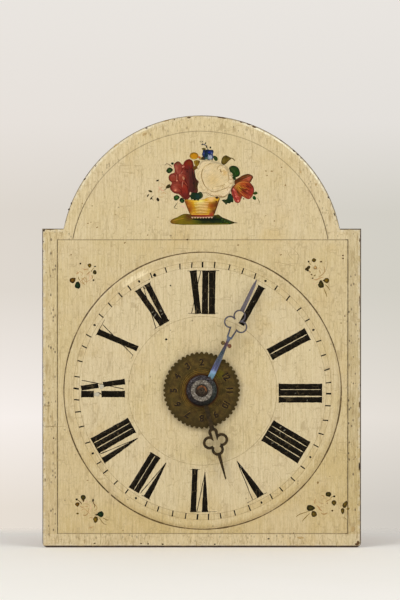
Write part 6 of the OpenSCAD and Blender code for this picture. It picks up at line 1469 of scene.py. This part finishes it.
faceSpots = [
    (88, 223.3, 0.9, 0.5, 0, "dot"), (91, 222.2, 0.6, 0.5, 0, "dot"), (97.1, 227.3, 1.1, 0.6, 40, "dot"),
    (71.1, 254.7, 0.8, 0.7, 0, "dot"), (82.3, 203.4, 0.6, 0.5, 0, "dot"), (92.2, 205.9, 0.6, 0.5, 0, "dot"),
    (115.5, 214.6, 0.9, 0.6, 0, "crack"), (147.7, 235, 0.9, 0.5, 60, "dot"),
    (157.9, 217.1, 0.8, 0.5, 0, "crack"), (124.7, 242.7, 1.1, 0.6, 30, "dot"),
    (187.4, 239.5, 1.0, 0.9, 0, "bare"), (281.6, 167.3, 0.8, 0.7, 0, "dot"),
    (265.9, 171, 0.8, 0.7, 0, "dot"), (271.7, 171.2, 1.0, 0.7, 0, "dot"),
    (266.9, 175.4, 0.7, 0.6, 0, "dot"), (285.3, 185.1, 0.9, 0.6, 60, "dot"),
    (274.5, 220.9, 0.9, 0.7, 0, "dot"), (265.6, 215.6, 0.8, 0.4, 0, "crack"),
    (281, 254.7, 0.9, 0.6, 30, "dot"), (343.1, 255.4, 1.0, 0.7, 0, "bare"),
    (343.1, 258.3, 0.9, 0.7, 0, "bare"), (238.2, 245, 1.2, 0.6, 10, "dot"),
    (317.9, 482.8, 0.9, 1.2, 0, "dot"), (53.6, 438.4, 0.8, 0.7, 0, "bare"),
    (160.4, 421, 0.8, 0.5, 0, "dot"), (166, 440, 0.8, 0.6, 0, "crack"), (147, 407.6, 0.6, 0.5, 0, "dot"),
    (87.4, 480.6, 0.9, 0.5, 20, "dot"), (122.8, 530.8, 0.8, 0.5, 0, "dot"),
    (166.4, 517.6, 1.0, 0.7, 0, "crack"), (293.6, 533.4, 0.9, 0.5, 60, "bare"),
    (344.8, 316, 0.8, 0.6, 0, "bare"), (341, 323, 0.8, 0.6, 0, "dot"), (330, 476.6, 0.5, 0.5, 0, "dot"),
]
crackPaths = [
    [(119.6, 165.6), (119.4, 170), (119.6, 174.8)], [(119.6, 165.6), (125.8, 165.2), (131.8, 165.1)],
    [(119.8, 172), (126, 172.2), (131.8, 173.2)], [(133, 165), (137.6, 165.8), (142, 165.6)],
    [(175.9, 226), (175.2, 236), (174, 248), (173.8, 262)], [(174, 248.8), (182, 248.4), (190, 248.8)],
    [(44, 405.4), (47, 405.7), (50, 405.5)], [(44, 426.4), (54, 426.3), (66, 426.4)],
    [(74, 429.2), (79, 429.6), (83, 429)], [(292, 248), (298.6, 255), (297, 263), (295.4, 271)],
    [(287, 250), (289.4, 256), (293.4, 259.6)], [(326, 256), (327.4, 264), (325.4, 272)],
    [(191.6, 140), (191, 148), (192, 156)], [(252, 143), (252.4, 152), (251.4, 162)],
    [(102, 307.6), (101.4, 318), (102.2, 330)], [(148, 337.6), (147.6, 346), (148.4, 356)],
    [(246, 412), (246.6, 424), (245.6, 440)], [(306, 410), (305.6, 420), (306.4, 432)],
    [(90.6, 317), (101, 317.4), (114, 316.6)], [(272, 262), (281, 263), (292, 266)],
]


# Chips of the arch sit right at its outline.
def wearSpot(x, y):
    px, pz = spot(x, y)
    reach = math.dist((px, pz), archCentre)
    out = 1 + 0.9 / reach if pz > shoulder and reach > archRadius - 4 else 1
    return archCentre[0] + (px - archCentre[0]) * out, archCentre[1] + (pz - archCentre[1]) * out


markRise = 0.02


def slopeFront(px, pz):
    square = min(boardHalf - abs(px), pz, shoulder - pz)
    inside = max(square, archRadius - math.dist((px, pz), archCentre))
    return boardFront + borderDrop * max(0.0, 1 - inside / borderWide) - markRise


marks = Paint("board_wear")
for x, y, long_, wide, angle, name in edgeSpots + faceSpots:
    at = wearSpot(x, y)
    marks.dab(*at, long_ * pixel, wide * pixel, angle, tone(*wearTones[name]), slopeFront(*at),
             ragged=0.55, lift=0.05, segments=12)
for points in crackPaths:
    marks.line(points, 0.2, wearTones["crack"], 0)
marks.finish(oil)

# Places where the black has rubbed off
rubbedSpots = [
    (96.8, 394.2, 3.3, 2.0, 5, "chalk"), (101.6, 386.4, 2.6, 2.0, 10, "chalk"),
    (100.3, 393.6, 1.9, 0.6, -30, "dark"), (98.2, 392.4, 0.8, 0.4, 20, "scuff"),
    (152.6, 312, 1.2, 0.5, 30, "nick"), (155, 315, 0.9, 1.4, -40, "scuff"),
    (160.6, 310.6, 1.5, 0.8, -50, "scuff"), (162, 314, 1.2, 0.5, 40, "scuff"),
    (144.6, 288, 0.6, 1.1, 40, "bare"), (295.4, 393.2, 0.9, 0.4, 20, "scuff"),
    (307.2, 400.4, 0.9, 0.35, 60, "nick"), (280.5, 427.2, 1.3, 0.5, 30, "nick"),
    (284.4, 430.4, 1.5, 0.55, 30, "nick"), (280, 433, 0.9, 0.4, 50, "nick"),
    (272.6, 443, 1.6, 0.5, 25, "scuff"), (278.4, 445.4, 0.9, 0.5, 20, "scuff"),
    (241.4, 466.6, 0.8, 1.5, 60, "scuff"), (203.4, 301, 0.4, 0.4, 0, "nick"),
    (253.6, 301.6, 0.6, 0.5, 0, "scuff"), (208.6, 292, 0.35, 0.8, 0, "nick"),
]
rubs = Paint("numeral_wear", dialFront)
for x, y, long_, wide, angle, name in rubbedSpots:
    rubs.drop(x, y, long_, wide, angle, wearTones[name], 2, ragged=0.5)
rubs.finish(oil)
print("wear marks set")

# Hour figures of the alarm disc, 1 to 12 against the clock with 2 at the top
# Each figure is made twice: a dark copy in front and a gold copy a little behind it, shifted right and down,
# whose edge shows as a painted highlight on the stamped figures.
figureLook = {"size": 6.8, "radius": 20.8, "front": -13.2, "lift": (0.1, 0.05), "weight": 0.26,
              "spacing": 0.82, "shift": (0.28, 0.3), "under": (-13.27, -13.26)}


def figureMaterial():
    material, graph, shader = newMaterial("discFigures")
    place = graph.place()
    glint = graph.span(graph.noise(place, 1.3, 4.0, 0.7), 0.5, 0.64)
    colour = graph.blend(glint, tone(36, 22, 4), tone(70, 50, 14))
    # gold behind the front copy: the painted highlight along the figures' lower right edges
    under = graph.span(graph.split(place)[1], *figureLook["under"])
    colour = graph.blend(under, colour, tone(128, 102, 44))
    finishSurface(graph, shader, colour, 0.5, glint, 0.1)
    shader.inputs["Specular IOR Level"].default_value = 0.2
    return material


def addFigures():
    look = figureLook
    right, down = look["shift"]
    merged = bmesh.new()
    for number, layer in ((n, k) for n in range(1, 13) for k in (0, 1)):
        text = bpy.data.curves.new("figure", "FONT")
        text.body = str(number)
        text.align_x, text.align_y = "CENTER", "CENTER"
        text.size = look["size"] * mm
        text.space_character = look["spacing"]
        text.offset = look["weight"] * mm
        text.extrude = look["lift"][layer] * mm
        text.resolution_u = 3
        holder = addObject("figure", text)
        bpy.context.view_layer.update()
        evaluated = holder.evaluated_get(bpy.context.evaluated_depsgraph_get())
        shape = bpy.data.meshes.new_from_object(evaluated)
        shape.transform(Matrix.Translation((dialCentre[0] * mm, 0, dialCentre[1] * mm))
                        @ Matrix.Rotation(math.radians((2 - number) * 30), 4, "Y")
                        @ Matrix.Translation((right * layer * mm, look["front"] * mm,
                                              (look["radius"] - down * layer) * mm))
                        @ Matrix.Rotation(math.radians(90), 4, "X"))
        merged.from_mesh(shape)
        bpy.data.objects.remove(holder)
        bpy.data.meshes.remove(shape)
        bpy.data.curves.remove(text)
    bmesh.ops.remove_doubles(merged, verts=merged.verts, dist=0.00001)
    bmesh.ops.recalc_face_normals(merged, faces=merged.faces)
    data = bpy.data.meshes.new("disc_figures")
    merged.to_mesh(data)
    merged.free()
    figures = addObject("disc_figures", data)
    data.materials.append(figureMaterial())
    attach(figures, "alarm_setter")


addFigures()
print("alarm figures set")

# Stage: a pale floor that fades out behind, a pale background that only camera and mirror rays see.
# The background carries painted light and shadow: darker bands at mid height and just above the floor
# for the clock's shadow on the wall, a paler band between them, and a darker right side.
stageLook = {"floor": tone(252, 249, 242), "far": 0.21, "half": 1.6, "below": 0.0002}


def floorMaterial():
    material, graph, shader = newMaterial("paleFloor")
    coordinates = graph.node("TexCoord").outputs["Object"]
    y = graph.split(coordinates)[1]
    cloud = graph.noise(coordinates, 6.0, 3.0)
    colour = graph.blend(graph.span(cloud, 0.3, 0.7), stageLook["floor"], tone(253, 250, 244))
    graph.feed(shader.inputs["Base Color"], colour)
    shader.inputs["Roughness"].default_value = 0.85
    shader.inputs["Specular IOR Level"].default_value = 0.1
    behind = graph.span(y, stageLook["far"] * 0.55, stageLook["far"], 1.0, 0.0)
    graph.feed(shader.inputs["Alpha"], behind)
    return material


def buildStage():
    mesh = bmesh.new()
    bmesh.ops.create_grid(mesh, x_segments=24, y_segments=24, size=stageLook["half"])
    corner = (0, stageLook["far"] - stageLook["half"], -stageLook["below"])
    bmesh.ops.translate(mesh, verts=mesh.verts, vec=corner)
    data = bpy.data.meshes.new("floor")
    mesh.to_mesh(data)
    mesh.free()
    floor = addObject("floor", data)
    data.materials.append(floorMaterial())

    world = bpy.data.worlds.new("studio")
    bpy.context.scene.world = world
    world.use_nodes = True
    graph = Graph(world.node_tree)
    light = next(n for n in world.node_tree.nodes if n.type == "BACKGROUND")
    seen = graph.node("LightPath").outputs
    direct = graph.most(seen["Is Camera Ray"],
                        graph.most(seen["Is Glossy Ray"], seen["Is Transmission Ray"]))
    x, _, z = graph.split(graph.node("TexCoord").outputs["Generated"])
    height = graph.span(z, -0.09, 0.06, kind="LINEAR")
    # painted light and shadow on the background, by height and from left to right
    left = graph.ramp(height, [
        (0.0, tone(231, 222, 211)), (0.16, tone(231, 222, 211)), (0.3, tone(247, 240, 235)),
        (0.5, tone(223, 216, 207)), (0.62, tone(221, 214, 205)), (0.76, tone(231, 225, 219)),
        (1.0, tone(234, 230, 225))])
    right = graph.ramp(height, [
        (0.0, tone(208, 203, 195)), (0.16, tone(208, 203, 195)), (0.3, tone(228, 222, 214)),
        (0.5, tone(210, 207, 197)), (0.62, tone(210, 207, 198)), (0.76, tone(228, 224, 219)),
        (1.0, tone(234, 230, 225))])
    pale = graph.blend(graph.span(x, -0.045, 0.05, kind="LINEAR"), left, right)
    colour = graph.blend(direct, (0.57, 0.57, 0.57, 1.0), pale)
    graph.feed(light.inputs["Color"], colour)


lampTarget = (0.0, 0.0, 0.15)


def softbox(name, at, target, size, watts, warmth):
    data = bpy.data.lights.new(name, "AREA")
    data.shape = "RECTANGLE"
    data.size, data.size_y = size
    data.energy = watts
    data.color = warmth
    lamp = addObject(name, data)
    lamp.location = at
    lamp.rotation_euler = (Vector(target) - Vector(at)).to_track_quat("-Z", "Y").to_euler()


# In steps of "pixel": "foot" is the model's origin in the picture, "tall" the picture's height at the board
cameraLook = {"away": 3.2, "elevation": 1.0, "foot": (201.7, 546.9), "tall": 598.2, "sensor": 36.0}


def buildCamera():
    look = cameraLook
    data = bpy.data.cameras.new("camera")
    camera = addObject("camera", data)
    bpy.context.scene.camera = camera
    away, elevation = look["away"], math.radians(look["elevation"])
    foot = look["foot"]
    centre = Vector(((pictureMiddle[0] - foot[0]) * pixel * mm, boardFront * mm,
                     (foot[1] - pictureMiddle[1]) * pixel * mm))
    back = Vector((0.0, -math.cos(elevation), math.sin(elevation)))
    camera.location = centre + back * away
    camera.rotation_euler = (-back).to_track_quat("-Z", "Y").to_euler()
    data.sensor_width = look["sensor"]
    data.lens = look["sensor"] * away / (look["tall"] * pixel * mm)
    data.clip_start, data.clip_end = 0.05, 50.0


buildStage()
softbox("key", (-1.4, -1.7, 1.5), lampTarget, (1.1, 0.9), 21.0, (1.0, 0.985, 0.96))
softbox("fill", (1.4, -1.5, 1.2), lampTarget, (1.0, 0.8), 11.5, (1.0, 0.99, 0.975))
buildCamera()
bpy.context.scene.view_settings.view_transform = "Standard"
